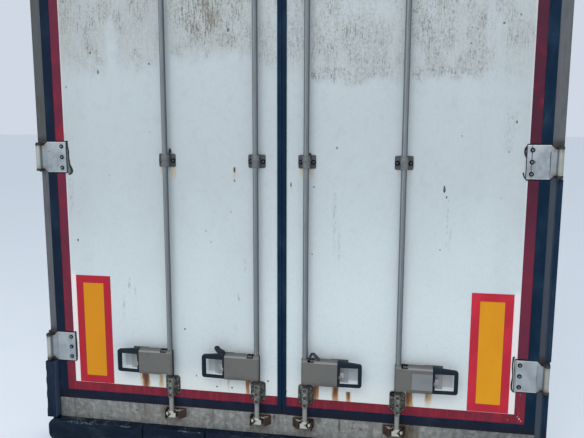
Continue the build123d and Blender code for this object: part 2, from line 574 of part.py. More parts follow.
def handle_body(rod_x, cover_missing):
    """Handle body for a rod on the right-hand door."""
    with BuildPart() as body:
        with BuildSketch(Plane.XY.offset(handle_z)):
            with Locations((rod_x - HANDLE_HUB_REACH, out(ROD_OUT - HANDLE_BACK))):
                Rectangle(HANDLE_HUB_REACH + HANDLE_LENGTH, HANDLE_BACK + HANDLE_FRONT,
                          align=(Align.MIN, Align.MAX))
            fillet(vertices().group_by(Axis.X)[0], HANDLE_HUB_RADIUS)
        extrude(amount=HANDLE_HEIGHT)
        with BuildSketch(Plane.YZ.offset(rod_x - HANDLE_HUB_REACH)):
            front_y = out(ROD_OUT + HANDLE_FRONT)
            top_z = handle_z + HANDLE_HEIGHT
            with BuildLine():
                Polyline((front_y, top_z), (front_y, top_z - slope_down),
                         (front_y + slope_out, top_z), close=True)
            make_face()
        extrude(amount=HANDLE_HUB_REACH + HANDLE_LENGTH, mode=Mode.SUBTRACT)
        with BuildSketch(Plane.XY.offset(handle_z)):
            with Locations((rod_x - HANDLE_HUB_REACH, out(ROD_OUT - HANDLE_BACK))):
                Rectangle(HANDLE_HUB_WIDTH, HANDLE_BACK + HANDLE_FRONT, align=(Align.MIN, Align.MAX))
            fillet(vertices(), HANDLE_HUB_RADIUS)
        extrude(amount=-HANDLE_HUB_DROP)
        with Locations((rod_x + HANDLE_HOLLOW_FROM, out(ROD_OUT - HANDLE_BACK), handle_z + HANDLE_WALL)):
            Box(HANDLE_LENGTH - HANDLE_WALL - HANDLE_HOLLOW_FROM,
                HANDLE_BACK + HANDLE_FRONT - slope_out - HANDLE_WALL,
                HANDLE_HEIGHT - 2 * HANDLE_WALL,
                align=(Align.MIN, Align.MAX, Align.MIN), mode=Mode.SUBTRACT)
        with Locations((rod_x + slot_from, out(ROD_OUT + HANDLE_FRONT), handle_z + HANDLE_HEIGHT)):
            Box(slot_to - slot_from, HANDLE_FRONT, slot_depth,
                align=(Align.MIN, Align.MIN, Align.MAX), mode=Mode.SUBTRACT)
        with Locations((rod_x + slot_from, out(ROD_OUT + HANDLE_FRONT), handle_z)):
            Box(slot_to - slot_from, HANDLE_FRONT, HANDLE_WALL,
                align=(Align.MIN, Align.MIN, Align.MIN), mode=Mode.SUBTRACT)
        if cover_missing:
            with Locations((rod_x + COVER_FROM, out(ROD_OUT + HANDLE_FRONT), handle_z + COVER_FOOT)):
                Box(HANDLE_LENGTH - COVER_FROM, COVER_DEPTH, COVER_HEIGHT,
                    align=(Align.MIN, Align.MIN, Align.MIN), mode=Mode.SUBTRACT)
        with Locations((rod_x, out(ROD_OUT), handle_z + HANDLE_HEIGHT / 2)):
            Cylinder(ROD_RADIUS, 2 * HANDLE_HEIGHT, mode=Mode.SUBTRACT)
    return body


for rod_name, rod_x in ROD_POSITIONS:
    finish(handle_body(rod_x, rod_name == "outer"), f"handle_{rod_name}_right")
    with BuildPart() as left_handle:
        mirror(handle_body(rod_x, False).part, about=Plane.YZ)
    finish(left_handle, f"handle_{rod_name}_left")

# Grips: tapered plastic loops on the ends of the handles, notched beside the catch
catch_width, catch_out, catch_height = CATCH_SIZE
catch_mid_z = handle_z + CATCH_FOOT + catch_height / 2
notch_height, notch_depth = GRIP_NOTCH
for rod_name, rod_x in ROD_POSITIONS:
    root_x = rod_x + HANDLE_LENGTH
    end_x = root_x + GRIP_LENGTH
    grip_top_z = handle_z + HANDLE_HEIGHT + GRIP_ROOT_RISE
    with BuildPart() as grip:
        with BuildSketch(face_plane(ROD_OUT + GRIP_FROM)):
            with BuildLine():
                Polyline((root_x, handle_z), (end_x, handle_z + GRIP_END_FOOT_RISE),
                         (end_x, grip_top_z - GRIP_END_TOP_DROP), (root_x, grip_top_z), close=True)
            make_face()
            fillet(vertices().group_by(Axis.X)[-1], GRIP_CORNER_RADIUS)
            with BuildLine():
                Polyline((root_x + GRIP_ROOT_BAR, handle_z + GRIP_FOOT_BAR),
                         (end_x - GRIP_BAR, handle_z + GRIP_END_FOOT_RISE + GRIP_FOOT_BAR),
                         (end_x - GRIP_BAR, grip_top_z - GRIP_END_TOP_DROP - GRIP_BAR),
                         (root_x + GRIP_ROOT_BAR, grip_top_z - slope_down - GRIP_BAR), close=True)
            make_face(mode=Mode.SUBTRACT)
        extrude(amount=GRIP_DEPTH)
        fillet(faces().sort_by(Axis.Y)[0].edges(), GRIP_EDGE_RADIUS)
        with Locations((root_x + GRIP_ROOT_BAR, out(ROD_OUT + GRIP_FROM), catch_mid_z)):
            Box(notch_depth, GRIP_DEPTH, notch_height,
                align=(Align.MAX, Align.MAX, Align.CENTER), mode=Mode.SUBTRACT)
    finish_pair(grip, f"grip_{rod_name}")

# Handle retainers on the skin behind each handle's end
with BuildPart() as retainers:
    for _, rod_x in ROD_POSITIONS:
        with Locations((rod_x + RETAINER_FROM, out(0), handle_z + RETAINER_FOOT_GAP)):
            Box(RETAINER_WIDTH, RETAINER_THICKNESS, HANDLE_HEIGHT - 2 * RETAINER_FOOT_GAP,
                align=(Align.MIN, Align.MAX, Align.MIN))
        with Locations((rod_x + CATCH_FROM, out(RETAINER_THICKNESS), catch_mid_z)):
            Box(catch_width, catch_out, catch_height,
                align=(Align.MIN, Align.MAX, Align.CENTER))
finish_pair(retainers, "handle_retainers")

# Reflective tape round the foot, outer edge and head of each door, cut round the ironwork
with BuildPart() as tape:
    with BuildSketch(face_plane(0)):
        with Locations((CENTRE_SEAL_WIDTH, FOOT_Z + SEAL_WIDTH)):
            Rectangle(LIP_INNER_X - CENTRE_SEAL_WIDTH, DOORWAY_HEIGHT - 2 * SEAL_WIDTH,
                      align=(Align.MIN, Align.MIN))
        with Locations((CENTRE_SEAL_WIDTH, FOOT_Z + SEAL_WIDTH + TAPE_WIDTH)):
            Rectangle(TAPE_INNER_X - CENTRE_SEAL_WIDTH, DOORWAY_HEIGHT - 2 * (SEAL_WIDTH + TAPE_WIDTH),
                      align=(Align.MIN, Align.MIN), mode=Mode.SUBTRACT)
        for hinge_z in (LOW_HINGE_Z, MID_HINGE_Z, TOP_HINGE_Z):
            with Locations((STRAP_EDGE_X - TAPE_TRIM_GAP, hinge_z)):
                Rectangle(STRAP_REACH, STRAP_HEIGHT + 2 * TAPE_TRIM_GAP,
                          align=(Align.MIN, Align.CENTER), mode=Mode.SUBTRACT)
    extrude(amount=TAPE_THICKNESS)
    for _, rod_x in ROD_POSITIONS:
        low_cut = extrude(offset(bearing_plate(rod_x), amount=TAPE_TRIM_GAP, mode=Mode.PRIVATE),
                          amount=BEARING_PLATE, mode=Mode.PRIVATE)
        for cut in (low_cut, mirror(low_cut, about=Plane.XY.offset(MID_Z), mode=Mode.PRIVATE)):
            add(cut, mode=Mode.SUBTRACT)
finish_pair(tape, "tape")

# Marker plates: a border with a field set back a little
with BuildPart() as marker:
    marker_foot_z = FOOT_Z + SEAL_WIDTH + TAPE_WIDTH + MARKER_FOOT_GAP
    marker_edge_x = TAPE_INNER_X - MARKER_SIDE_GAP
    with BuildSketch(face_plane(0)):
        with Locations((marker_edge_x, marker_foot_z)):
            Rectangle(MARKER_WIDTH, MARKER_HEIGHT, align=(Align.MAX, Align.MIN))
    extrude(amount=MARKER_THICKNESS)
    with BuildSketch(face_plane(MARKER_THICKNESS)):
        with Locations((marker_edge_x - MARKER_WIDTH / 2, marker_foot_z + MARKER_HEIGHT / 2)):
            Rectangle(MARKER_WIDTH - 2 * MARKER_BORDER, MARKER_HEIGHT - 2 * MARKER_BORDER)
    extrude(amount=-MARKER_FIELD_RECESS, mode=Mode.SUBTRACT)
finish_pair(marker, "marker_plate")

# Rubber strips in the posts' rebated corners. The left one between the hinges is lost.
for side_name, side, spans in (("left", -1, STRIP_SPANS[:1]), ("right", 1, STRIP_SPANS)):
    with BuildPart() as corner_strips:
        for span_foot_z, span_top_z in spans:
            with BuildSketch(Plane.XY.offset(span_foot_z)):
                with Locations((side * (HALF_WIDTH - STRIP_REBATE / 2 + STRIP_PROUD / 2),
                                SKIN_Y + STRIP_SIDE / 2 - STRIP_PROUD / 2)):
                    Rectangle(STRIP_REBATE + STRIP_PROUD, STRIP_SIDE + STRIP_PROUD)
                outer_corner = vertices().sort_by(Axis.X)[::side][-2:].sort_by(Axis.Y)[0]
                fillet(outer_corner, STRIP_CORNER_RADIUS)
            extrude(amount=span_top_z - span_foot_z)
    finish(corner_strips, f"corner_strips_{side_name}")

# Rubber buffers along the sill, in five blocks
with BuildPart() as buffers:
    buffer_end = HALF_WIDTH + BUFFER_OVERHANG
    stations = [-buffer_end, *(-x for x in reversed(BUFFER_SEAMS)), *BUFFER_SEAMS, buffer_end]
    buffer_foot_z = FOOT_Z - BUFFER_TOP_DROP - BUFFER_HEIGHT
    for start_x, stop_x in zip(stations, stations[1:]):
        with Locations(((start_x + stop_x) / 2, out(0), buffer_foot_z)):
            Box(stop_x - start_x - BUFFER_SEAM_GAP, BUFFER_OUT, BUFFER_HEIGHT,
                align=(Align.CENTER, Align.MAX, Align.MIN))
    end_edges = edges().filter_by(Axis.Y).group_by(Axis.X)
    fillet(end_edges[0] + end_edges[-1], BUFFER_CORNER_RADIUS)
    fillet(faces().group_by(Axis.Y)[0].edges(), BUFFER_EDGE_RADIUS)
finish(buffers, "buffer_blocks")
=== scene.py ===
import logging
from collections.abc import Callable, Iterable
from dataclasses import dataclass
from enum import Enum
from functools import cache
from math import pi, radians
from typing import Any, Union

import bmesh
import bpy
from mathutils import Matrix, Vector


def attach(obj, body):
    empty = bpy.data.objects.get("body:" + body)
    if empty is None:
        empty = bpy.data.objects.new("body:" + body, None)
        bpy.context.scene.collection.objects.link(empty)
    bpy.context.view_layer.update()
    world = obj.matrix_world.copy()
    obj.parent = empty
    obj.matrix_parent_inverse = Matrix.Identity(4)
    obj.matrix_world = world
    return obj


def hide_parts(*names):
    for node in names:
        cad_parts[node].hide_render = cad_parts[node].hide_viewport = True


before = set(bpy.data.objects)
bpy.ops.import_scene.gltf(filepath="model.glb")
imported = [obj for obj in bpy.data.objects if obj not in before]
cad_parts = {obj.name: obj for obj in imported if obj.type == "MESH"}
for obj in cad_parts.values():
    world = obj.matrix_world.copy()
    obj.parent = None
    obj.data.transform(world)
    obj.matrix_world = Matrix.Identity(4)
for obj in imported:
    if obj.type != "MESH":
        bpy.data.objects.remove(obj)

# Looks of the rear door end of a refrigerated trailer body. Sizes are in millimetres, measured
# x across to the right, out away from the doors' outer skin, and z up. Lights, camera and the
# colours of light are in Blender's own units.

LOG = logging.getLogger("rear_doors")
MM = 0.001
STRAND_ANGLE = 60.0
SKIN_Y = -55.0
MID_Z = 1572.0
HINGE_PITCH = 1025.0
HINGE_HEIGHTS = (MID_Z - HINGE_PITCH, MID_Z, MID_Z + HINGE_PITCH)
RODS = (125.0, 588.0)
CAM_Z = 224.0

Number = Union["Value", float]
Colour = tuple[float, float, float, float]
Paint = Union["Coat", bpy.types.NodeSocket, Colour]
Mark = Union["Run", "Fleck"]
Span = tuple[float, float]
Triple = tuple[float, float, float]


class Side(Enum):
    """The door and post on one side, seen from behind."""

    LEFT = -1
    RIGHT = 1

    @property
    def word(self) -> str:
        """The side's name as the CAD nodes use it."""
        return self.name.lower()

    @property
    def door(self) -> str:
        """The body that this side's door is."""
        return f"door_{self.word}"


def at(x: float, out: float, z: float) -> Vector:
    """A place in metres, from millimetres across, out from the skin and up."""
    return Vector((x, SKIN_Y - out, z)) * MM


def both(level: float) -> Span:
    """A level on the low gear, and the same on the top gear that mirrors it."""
    return level, 2 * MID_Z - level


def srgb(red: int, green: int, blue: int) -> Colour:
    """A colour as a screen shows it, made linear."""
    def linear(level: int) -> float:
        """One channel's level, made linear."""
        share = level / 255.0
        return share / 12.92 if share <= 0.04045 else ((share + 0.055) / 1.055) ** 2.4
    return (linear(red), linear(green), linear(blue), 1.0)


# ---------------------------------------------------------------- shader maths


def operator(operation: str, swapped: bool = False) -> Callable[["Value", Number], "Value"]:
    """Makes the method of Value that joins it and another number by a Math node.

    Args:
        operation: The node's operation.
        swapped: Whether the other number comes first.

    Returns:
        The method.
    """
    def method(self: "Value", other: Number) -> "Value":
        """Adds the node."""
        terms = (other, self) if swapped else (self, other)
        return self.graph.math(operation, *terms)
    return method


class Value:
    """A number that changes over a surface, for use in Python expressions."""

    def __init__(self, graph: "Graph", socket: bpy.types.NodeSocket) -> None:
        """Wraps a socket of that graph."""
        self.graph = graph
        self.socket = socket

    __add__ = __radd__ = operator("ADD")
    __sub__ = operator("SUBTRACT")
    __rsub__ = operator("SUBTRACT", swapped=True)
    __mul__ = __rmul__ = operator("MULTIPLY")
    __truediv__ = operator("DIVIDE")
    # The smaller and the larger of the two.
    least = operator("MINIMUM")
    most = operator("MAXIMUM")

    def __abs__(self) -> "Value":
        """Size without its sign."""
        return self.graph.math("ABSOLUTE", self)

    def wrap(self, length: float) -> "Value":
        """What is left after whole lengths are taken away."""
        return self.graph.math("WRAP", self, length, 0.0)

    def about(self, first: float, pitch: float) -> "Value":
        """Distance from the nearest of a row of places that lie a pitch apart."""
        return (self - first + pitch / 2).wrap(pitch) - pitch / 2

    def square(self) -> "Value":
        """Product with itself."""
        return self * self

    def sign(self) -> "Value":
        """-1 below 0 and 1 above."""
        return self.graph.math("SIGN", self)

    def rise(self, low: float, high: float) -> "Value":
        """0 below low, 1 above high and smooth between."""
        made = self.graph.node("ShaderNodeMapRange", {"interpolation_type": "SMOOTHSTEP"},
                               {"Value": self, "From Min": low, "From Max": high})
        return Value(self.graph, made.outputs["Result"])

    def fall(self, low: float, high: float) -> "Value":
        """1 below low, 0 above high and smooth between."""
        return 1.0 - self.rise(low, high)

    def band(self, low: float, high: float, soft: float) -> "Value":
        """1 between low and high, fading over soft at both ends."""
        return self.rise(low - soft / 2, low + soft / 2) * self.fall(high - soft / 2, high + soft / 2)


class Coat:
    """Paint in layers, which stands for its topmost layer wherever a node takes a colour."""

    def __init__(self, graph: "Graph", socket: Paint) -> None:
        """Starts from the undermost layer."""
        self.graph = graph
        self.socket = socket

    def lay(self, over: Paint, factor: Number) -> "Coat":
        """Lays a paint over what is there, by a factor that counts from 0 to 1 and no further."""
        made = self.graph.node("ShaderNodeMix", {"data_type": "RGBA"}, {0: factor, 6: self.socket, 7: over})
        self.socket = made.outputs[2]
        return self


@dataclass(frozen=True)
class Run:
    """A run of rust, dirt or water down a face: where it is, how wide, and how strong."""

    x: float
    top: float
    foot: float
    half_width: float
    strength: float = 1.0


@dataclass(frozen=True)
class Fleck:
    """A chip or speck: its middle, half its size across and up, and how strong."""

    x: float
    z: float
    half_width: float
    half_height: float
    strength: float = 1.0


class NodeTree:
    """Nodes of a material or a world."""

    def __init__(self, owner: bpy.types.Material | bpy.types.World) -> None:
        """Empties that owner's nodes."""
        owner.use_nodes = True
        self.tree = owner.node_tree
        self.tree.nodes.clear()

    def node(self, kind: str, settings: dict[str, Any] | None = None,
             sockets: dict[Union[str, int], Any] | None = None) -> bpy.types.ShaderNode:
        """Adds one node.

        Args:
            kind: Blender's name for the node's type.
            settings: The node's own settings, set first.
            sockets: Values or links for its inputs, by name or number.

        Returns:
            The new node.
        """
        made = self.tree.nodes.new(kind)
        for key, value in (settings or {}).items():
            setattr(made, key, value)
        for key, value in (sockets or {}).items():
            if isinstance(value, (Value, Coat)):
                value = value.socket
            if isinstance(value, bpy.types.NodeSocket):
                self.tree.links.new(value, made.inputs[key])
            else:
                made.inputs[key].default_value = value
        return made


class Graph(NodeTree):
    """The nodes of one material, which reads the piece's own coordinates in millimetres."""

    def __init__(self, name: str) -> None:
        """Starts an empty material of that name."""
        self.material = bpy.data.materials.new(name)
        super().__init__(self.material)
        metres = self.node("ShaderNodeTexCoord").outputs["Object"]
        scaled = self.node("ShaderNodeVectorMath", {"operation": "SCALE"}, {"Vector": metres, "Scale": 1.0 / MM})
        self.place = scaled.outputs["Vector"]
        split = self.node("ShaderNodeSeparateXYZ", {}, {"Vector": self.place})
        self.x, y, self.z = (Value(self, socket) for socket in split.outputs)
        self.out = SKIN_Y - y

    def math(self, operation: str, *terms: Number) -> Value:
        """One Math node on those terms."""
        made = self.node("ShaderNodeMath", {"operation": operation}, dict(enumerate(terms)))
        return Value(self, made.outputs[0])

    def coat(self, paint: Paint) -> Coat:
        """Starts a coat from its undermost paint."""
        return Coat(self, paint)

    def from_rod(self) -> Value:
        """Distance from the nearest lock rod's axis, positive towards the door's outer side."""
        inner, outer = RODS
        return abs(self.x).about(inner, outer - inner)

    def level(self) -> Value:
        """Height, mirrored above the middle so that the top gear is painted as the low gear is."""
        return MID_Z - abs(self.z - MID_Z)

    def spot(self, size: float, tall: float, wide: float, shift: float = 0.0) -> bpy.types.NodeSocket:
        """The piece's coordinates divided by a pattern's size, stretched up and across."""
        scale = (1.0 / (size * wide), 1.0 / size, 1.0 / (size * tall))
        made = self.node("ShaderNodeMapping", {}, {"Vector": self.place, "Scale": scale, "Location": (shift,) * 3})
        return made.outputs["Vector"]

    def noise(self, size: float, tall: float = 1.0, detail: float = 3.0, rough: float = 0.5,
              shift: float = 0.0, wide: float = 1.0) -> Value:
        """Cloudy values about 0.5.

        Args:
            size: How far apart its clouds are.
            tall: How much longer they are upwards.
            detail: How many finer layers it has.
            rough: How strong the finer layers are.
            shift: Moves the pattern, so that two of one size differ.
            wide: How much longer they are across.

        Returns:
            The values, from 0 to 1.
        """
        made = self.node("ShaderNodeTexNoise", {}, {
            "Vector": self.spot(size, tall, wide, shift), "Scale": 1.0, "Detail": detail, "Roughness": rough})
        return Value(self, made.outputs[0])

    def cells(self, size: float, tall: float = 1.0, wide: float = 1.0, feature: str = "F1") -> Value:
        """Distance from the nearest of a scatter of points, in sizes."""
        made = self.node("ShaderNodeTexVoronoi", {"feature": feature},
                         {"Vector": self.spot(size, tall, wide), "Scale": 1.0})
        return Value(self, made.outputs["Distance"])

    def runs(self, runs: Iterable[Run], waver: Value) -> Value:
        """Where any of those runs is, ragged by a noise."""
        total: Number = 0.0
        for run in runs:
            across = abs(self.x - run.x + (waver - 0.5) * run.half_width * 1.5)
            length = run.top - run.foot
            down = self.z.rise(run.foot, run.foot + 0.6 * length) * self.z.fall(run.top - 4.0, run.top + 2.0)
            total = down * across.fall(run.half_width * 0.4, run.half_width * 1.15) * run.strength + total
        return total.least(1.0)

    def flecks(self, flecks: Iterable[Fleck], waver: Value) -> Value:
        """Where any of those chips is, ragged by a noise."""
        total: Number = 0.0
        for fleck in flecks:
            across = (self.x - fleck.x) / fleck.half_width
            up = (self.z - fleck.z) / fleck.half_height
            reach = across.square() + up.square() + (waver - 0.5) * 1.6
            total = reach.fall(0.55, 1.15) * fleck.strength + total
        return total.least(1.0)

    def surface(self, colour: Paint, roughness: Number, metallic: Number = 0.0, height: Value | None = None,
                depth: float = 1.0, specular: float = 0.5, glow: Paint | None = None) -> None:
        """Ends the material.

        Args:
            colour: Base colour.
            roughness: From mirror, 0, to matt, 1.
            metallic: How far it is bare metal.
            height: A relief from 0 to 1, or none.
            depth: How deep that relief is.
            specular: Strength of its plain gloss.
            glow: Light that it gives off itself.
        """
        sockets: dict[Union[str, int], Any] = {
            "Base Color": colour, "Roughness": roughness, "Metallic": metallic, "Specular IOR Level": specular}
        if glow is not None:
            sockets.update({"Emission Color": glow, "Emission Strength": 1.0})
        if height is not None:
            relief = self.node("ShaderNodeBump", {}, {"Strength": 1.0, "Distance": depth * MM, "Height": height})
            sockets["Normal"] = relief.outputs["Normal"]
        shader = self.node("ShaderNodeBsdfPrincipled", {}, sockets)
        self.node("ShaderNodeOutputMaterial", {}, {"Surface": shader.outputs["BSDF"]})


# ---------------------------------------------------------------- finishes


@dataclass(frozen=True)
class Finish:
    """A surface finish with a name, painted by nodes."""

    name: str

    def paint(self, graph: Graph) -> None:
        """Builds the finish's nodes."""
        raise NotImplementedError


@cache
def material(finish: Finish) -> bpy.types.Material:
    """The finish's material, made once."""
    graph = Graph(finish.name)
    finish.paint(graph)
    return graph.material


@dataclass(frozen=True)
class DoorSkin(Finish):
    """White glass-fibre skin of one door, dirty towards the top, rusty under the handles."""

    side: Side
    clean: Colour = srgb(211, 223, 227)
    upper: Colour = srgb(187, 198, 203)
    shadow: Colour = srgb(150, 160, 168)
    dust: Colour = srgb(154, 155, 148)
    mould: Colour = srgb(96, 97, 88)
    mud: Colour = srgb(100, 84, 62)
    wash: Colour = srgb(206, 164, 92)
    rust: Colour = srgb(134, 84, 38)
    old_rust: Colour = srgb(92, 50, 24)
    hole: Colour = srgb(28, 26, 26)
    inner: Colour = srgb(214, 218, 216)
    inner_worn: Colour = srgb(176, 178, 172)
    rubbed: Colour = srgb(156, 165, 168)
    plate: Colour = srgb(150, 155, 158)
    bright: Colour = srgb(226, 232, 230)
    strip: Colour = srgb(240, 232, 232)
    # Places beyond each rod, from and to across and from and to up, that hands and plates have rubbed; the first is
    # also darkened as painted shade from the handle.
    grip_place: tuple[Span, Span] = ((212.0, 266.0), (462.0, 552.0))
    plate_place: tuple[Span, Span] = ((200.0, 232.0), (451.0, 556.0))
    marker_top: Span = (930.0, 980.0)
    strip_low: Span = (1120.0, 1122.0)
    strip_high: Span = (1142.0, 1145.0)
    rust_runs: tuple[Run, ...] = (
        Run(-743, 452, 280, 30), Run(-655, 452, 290, 17, 0.6), Run(-285, 455, 330, 7, 0.5),
        Run(-329, 452, 350, 5, 0.25), Run(-181, 444, 270, 15), Run(177, 450, 265, 22), Run(276, 455, 270, 21),
        Run(343, 402, 310, 16, 0.9), Run(644, 450, 270, 24), Run(736, 455, 320, 16, 0.6), Run(752, 450, 350, 9, 0.35),
        Run(811, 545, 440, 4, 0.4), Run(-242, 1532, 1435, 9, 0.35), Run(45, 1462, 1400, 5, 0.2),
        Run(-622, 1530, 1478, 9, 0.35), Run(-560, 1528, 1455, 16, 0.4), Run(98, 1528, 1475, 12, 0.35),
        Run(150, 1528, 1470, 12, 0.35), Run(560, 1530, 1490, 8, 0.2), Run(618, 1530, 1490, 8, 0.2))
    dark_runs: tuple[Run, ...] = (
        Run(-743, 456, 280, 14, 0.95), Run(-278, 452, 405, 5, 0.5), Run(-168, 446, 380, 9, 0.9),
        Run(171, 450, 300, 8, 0.9), Run(275, 456, 345, 10), Run(344, 398, 345, 6, 0.95), Run(640, 450, 300, 9, 0.9),
        Run(733, 455, 380, 6, 0.7))
    chips: tuple[Fleck, ...] = (
        Fleck(778, 1440, 6, 19), Fleck(789, 1402, 4, 7, 0.9), Fleck(-240, 1517, 6, 17), Fleck(-240, 1464, 4, 8, 0.8),
        Fleck(45, 1448, 4, 14, 0.9), Fleck(159, 1440, 4, 5, 0.8), Fleck(19, 378, 7, 10), Fleck(-945, 2001, 7, 10, 0.7),
        Fleck(-983, 2095, 6, 6, 0.8), Fleck(-672, 2037, 6, 6, 0.9), Fleck(-265, 2190, 7, 11, 0.8),
        Fleck(-1123, 1928, 5, 6, 0.6), Fleck(-680, 1700, 3, 4, 0.6), Fleck(-905, 1480, 3, 4, 0.5),
        Fleck(1010, 2190, 6, 6, 0.8), Fleck(1080, 2225, 4, 6, 0.7), Fleck(870, 2105, 5, 5, 0.7),
        Fleck(-459, 428, 4, 6, 0.8), Fleck(-970, 352, 5, 7, 0.7), Fleck(-1098, 1135, 5, 8), Fleck(-517, 681, 5, 6),
        Fleck(-393, 1205, 4, 5, 0.5), Fleck(-367, 1149, 4, 6, 0.45), Fleck(-261, 1306, 3, 7, 0.6),
        Fleck(-224, 858, 5, 12, 0.35), Fleck(152, 1106, 4, 6, 0.7), Fleck(768, 1149, 4, 4, 0.8),
        Fleck(269, 1629, 6, 8, 0.6), Fleck(848, 1689, 4, 4, 0.6), Fleck(1059, 1617, 4, 4, 0.7),
        Fleck(1035, 1404, 3, 4, 0.5), Fleck(1087, 1753, 4, 9, 0.9))
    scuffs: tuple[Run, ...] = (
        Run(797, 1400, 1120, 5, 0.55), Run(812, 1250, 1120, 6, 0.4), Run(262, 1420, 1040, 10, 0.35),
        Run(285, 1260, 1010, 7, 0.35), Run(-818, 945, 830, 8, 0.45), Run(-786, 915, 815, 6, 0.45),
        Run(-853, 850, 690, 11, 0.35), Run(-191, 1070, 985, 9, 0.35), Run(-1122, 1460, 1230, 14, 0.4),
        Run(-1150, 1700, 1330, 12, 0.35), Run(1058, 1800, 1560, 30, 0.25), Run(-226, 900, 830, 9, 0.3),
        Run(-245, 740, 640, 12, 0.2))
    blooms: tuple[Fleck, ...] = (
        Fleck(-952, 2030, 30, 90, 0.9), Fleck(-750, 2045, 50, 70, 0.8), Fleck(-1010, 2250, 60, 90, 0.6),
        Fleck(-420, 2270, 120, 90, 0.9), Fleck(-230, 2180, 70, 90, 0.7), Fleck(230, 1965, 110, 45, 0.9),
        Fleck(720, 1965, 130, 40, 0.8), Fleck(300, 2230, 120, 120, 0.6), Fleck(700, 2200, 120, 120, 0.5),
        Fleck(60, 2100, 30, 120, 0.6))

    def here(self, marks: Iterable[Mark]) -> list[Mark]:
        """Those of the marks that lie on this side's door."""
        return [mark for mark in marks if mark.x * self.side.value > 0.0]

    @staticmethod
    def beside_rods(graph: Graph, across: Span, up: Span, soft: float) -> Value:
        """Where a patch lies beyond either rod, from and to so far from it, with soft edges."""
        inner, outer = ((abs(graph.x) - rod).band(*across, soft) for rod in RODS)
        return (inner + outer) * graph.z.band(*up, soft)

    def grime(self, graph: Graph) -> tuple[Value, Value, Value]:
        """Where dust, brown mud and dark mould lie near the top of the door.

        Args:
            graph: The material being built.

        Returns:
            Three masks from 0 to 1.
        """
        x, z = graph.x, graph.z
        level = z + (graph.noise(55.0, 1.8, 4.0, 0.6) - 0.5) * 170.0
        if self.side is Side.RIGHT:
            cover = (x.band(136.0, 575.0, 30.0) * level.rise(1915.0, 1970.0)
                     + x.band(600.0, 930.0, 40.0) * level.rise(1935.0, 1990.0)
                     + x.band(930.0, 1160.0, 50.0) * level.rise(1890.0, 2060.0) * 0.8
                     + x.band(22.0, 115.0, 30.0) * level.rise(1920.0, 2090.0) * 0.8)
            cover = cover * (1.0 - x.band(300.0, 560.0, 120.0) * z.rise(2130.0, 2280.0) * 0.5)
        else:
            cover = (x.band(-1160.0, -900.0, 50.0) * level.rise(1930.0, 2170.0) * 1.1
                     + x.band(-905.0, -835.0, 40.0) * level.rise(2100.0, 2320.0) * 0.8
                     + x.band(-840.0, -605.0, 50.0) * level.rise(1940.0, 2150.0)
                     + x.band(-570.0, -140.0, 50.0) * level.rise(2020.0, 2150.0)
                     + x.band(-115.0, -24.0, 30.0) * level.rise(1950.0, 2090.0) * 0.85)
        cover = cover.least(1.0)
        drips = graph.noise(8.0, 9.0, 4.0, 0.6)
        grainy = graph.noise(8.0, 1.6, 4.0, 0.65, 3.0)
        broad = graph.noise(80.0, 1.8, 3.0, 0.5, 7.0)
        worms = abs(graph.noise(16.0, 1.7, 3.0, 0.55, 5.0) - 0.5).fall(0.012, 0.06)
        bloom = graph.flecks(self.here(self.blooms), broad)
        veil = 0.22 + x.fall(-300.0, -100.0) * 0.22
        dust = veil + grainy.rise(0.44, 0.6) * 0.35 + drips.rise(0.46, 0.62) * 0.25 + broad.rise(0.4, 0.6) * 0.2
        smear = x.band(-530.0, -320.0, 150.0) * level.band(2170.0, 2345.0, 110.0)
        mud = (drips * 0.4 + broad * 0.45 + grainy * 0.3 + smear * 0.12).rise(0.58, 0.8) * smear
        crown = x.band(-560.0, -150.0, 60.0) * z.rise(2170.0, 2330.0)
        mud = mud.most((drips + grainy - 0.98).rise(0.0, 0.16) * crown * 0.28)
        patchy = broad.rise(0.36, 0.6) * 0.6 + bloom * 0.7
        speck = graph.cells(40.0, 1.5).fall(0.10, 0.17) * broad.rise(0.46, 0.56)
        blots = (drips + grainy - 1.05).rise(0.0, 0.12) * (patchy + smear * 0.5)
        mould = (worms * patchy * 0.6 + speck * 0.65 + blots).least(1.0) * cover
        return dust * cover, mud, mould

    def paint(self, graph: Graph) -> None:
        """Lays the grime, runs and chips over the gel coat. The inner face stays clean."""
        x, z = graph.x, graph.z
        outer = graph.out.rise(-1.5, -0.5)
        waver = graph.noise(16.0, 5.0, 3.0, 0.6)
        grain = graph.noise(7.0, detail=2.0)
        cloud = graph.noise(330.0, 1.6, 3.0)
        height = z.rise(650.0, 1800.0) + (cloud - 0.5) * 0.7 + x.fall(-300.0, 100.0) * 0.2
        coat = graph.coat(self.clean).lay(self.upper, height)
        # Painted shade beside the rods.
        shade = abs(graph.from_rod()).fall(10.0, 62.0) * (0.5 + cloud) * z.rise(430.0, 520.0)
        coat.lay(self.shadow, shade * 0.06)
        faint = graph.noise(5.0, 22.0, 2.0).rise(0.6, 0.78) * graph.noise(150.0, shift=5.0).rise(0.5, 0.7)
        blotch = graph.noise(60.0, detail=4.0, rough=0.6, shift=8.0).rise(0.5, 0.68)
        coat.lay(self.dust, (faint * 0.25 + blotch * 0.12) * z.rise(500.0, 1900.0))
        coat.lay(self.shadow, graph.noise(13.0, 1.4, 3.0, 0.7, 4.0).rise(0.42, 0.66) * 0.09)
        dust, mud, mould = self.grime(graph)
        rimmed = abs(x).rise(1040.0, 1140.0) * (z.rise(1000.0, 2200.0) * 0.22 + z.band(1100.0, 1900.0, 300.0) * 0.12)
        dust = dust + rimmed * (0.6 + cloud * 0.8)
        coat.lay(self.dust, dust * 0.6)
        coat.lay(self.mud, mud * 0.8)
        coat.lay(self.mould, mould * 0.6)
        # Behind each grip the skin is darkened by rubbing and by painted shade from the handle.
        grip = self.beside_rods(graph, *self.grip_place, 5.0)
        coat.lay(self.rubbed, grip * (0.5 + cloud * 0.5))
        bared = self.beside_rods(graph, *self.plate_place, 2.0)
        coat.lay(self.plate, bared * x.fall(-1.0, 1.0))
        coat.lay(self.bright, z.fall(370.0, 500.0) * 0.7)
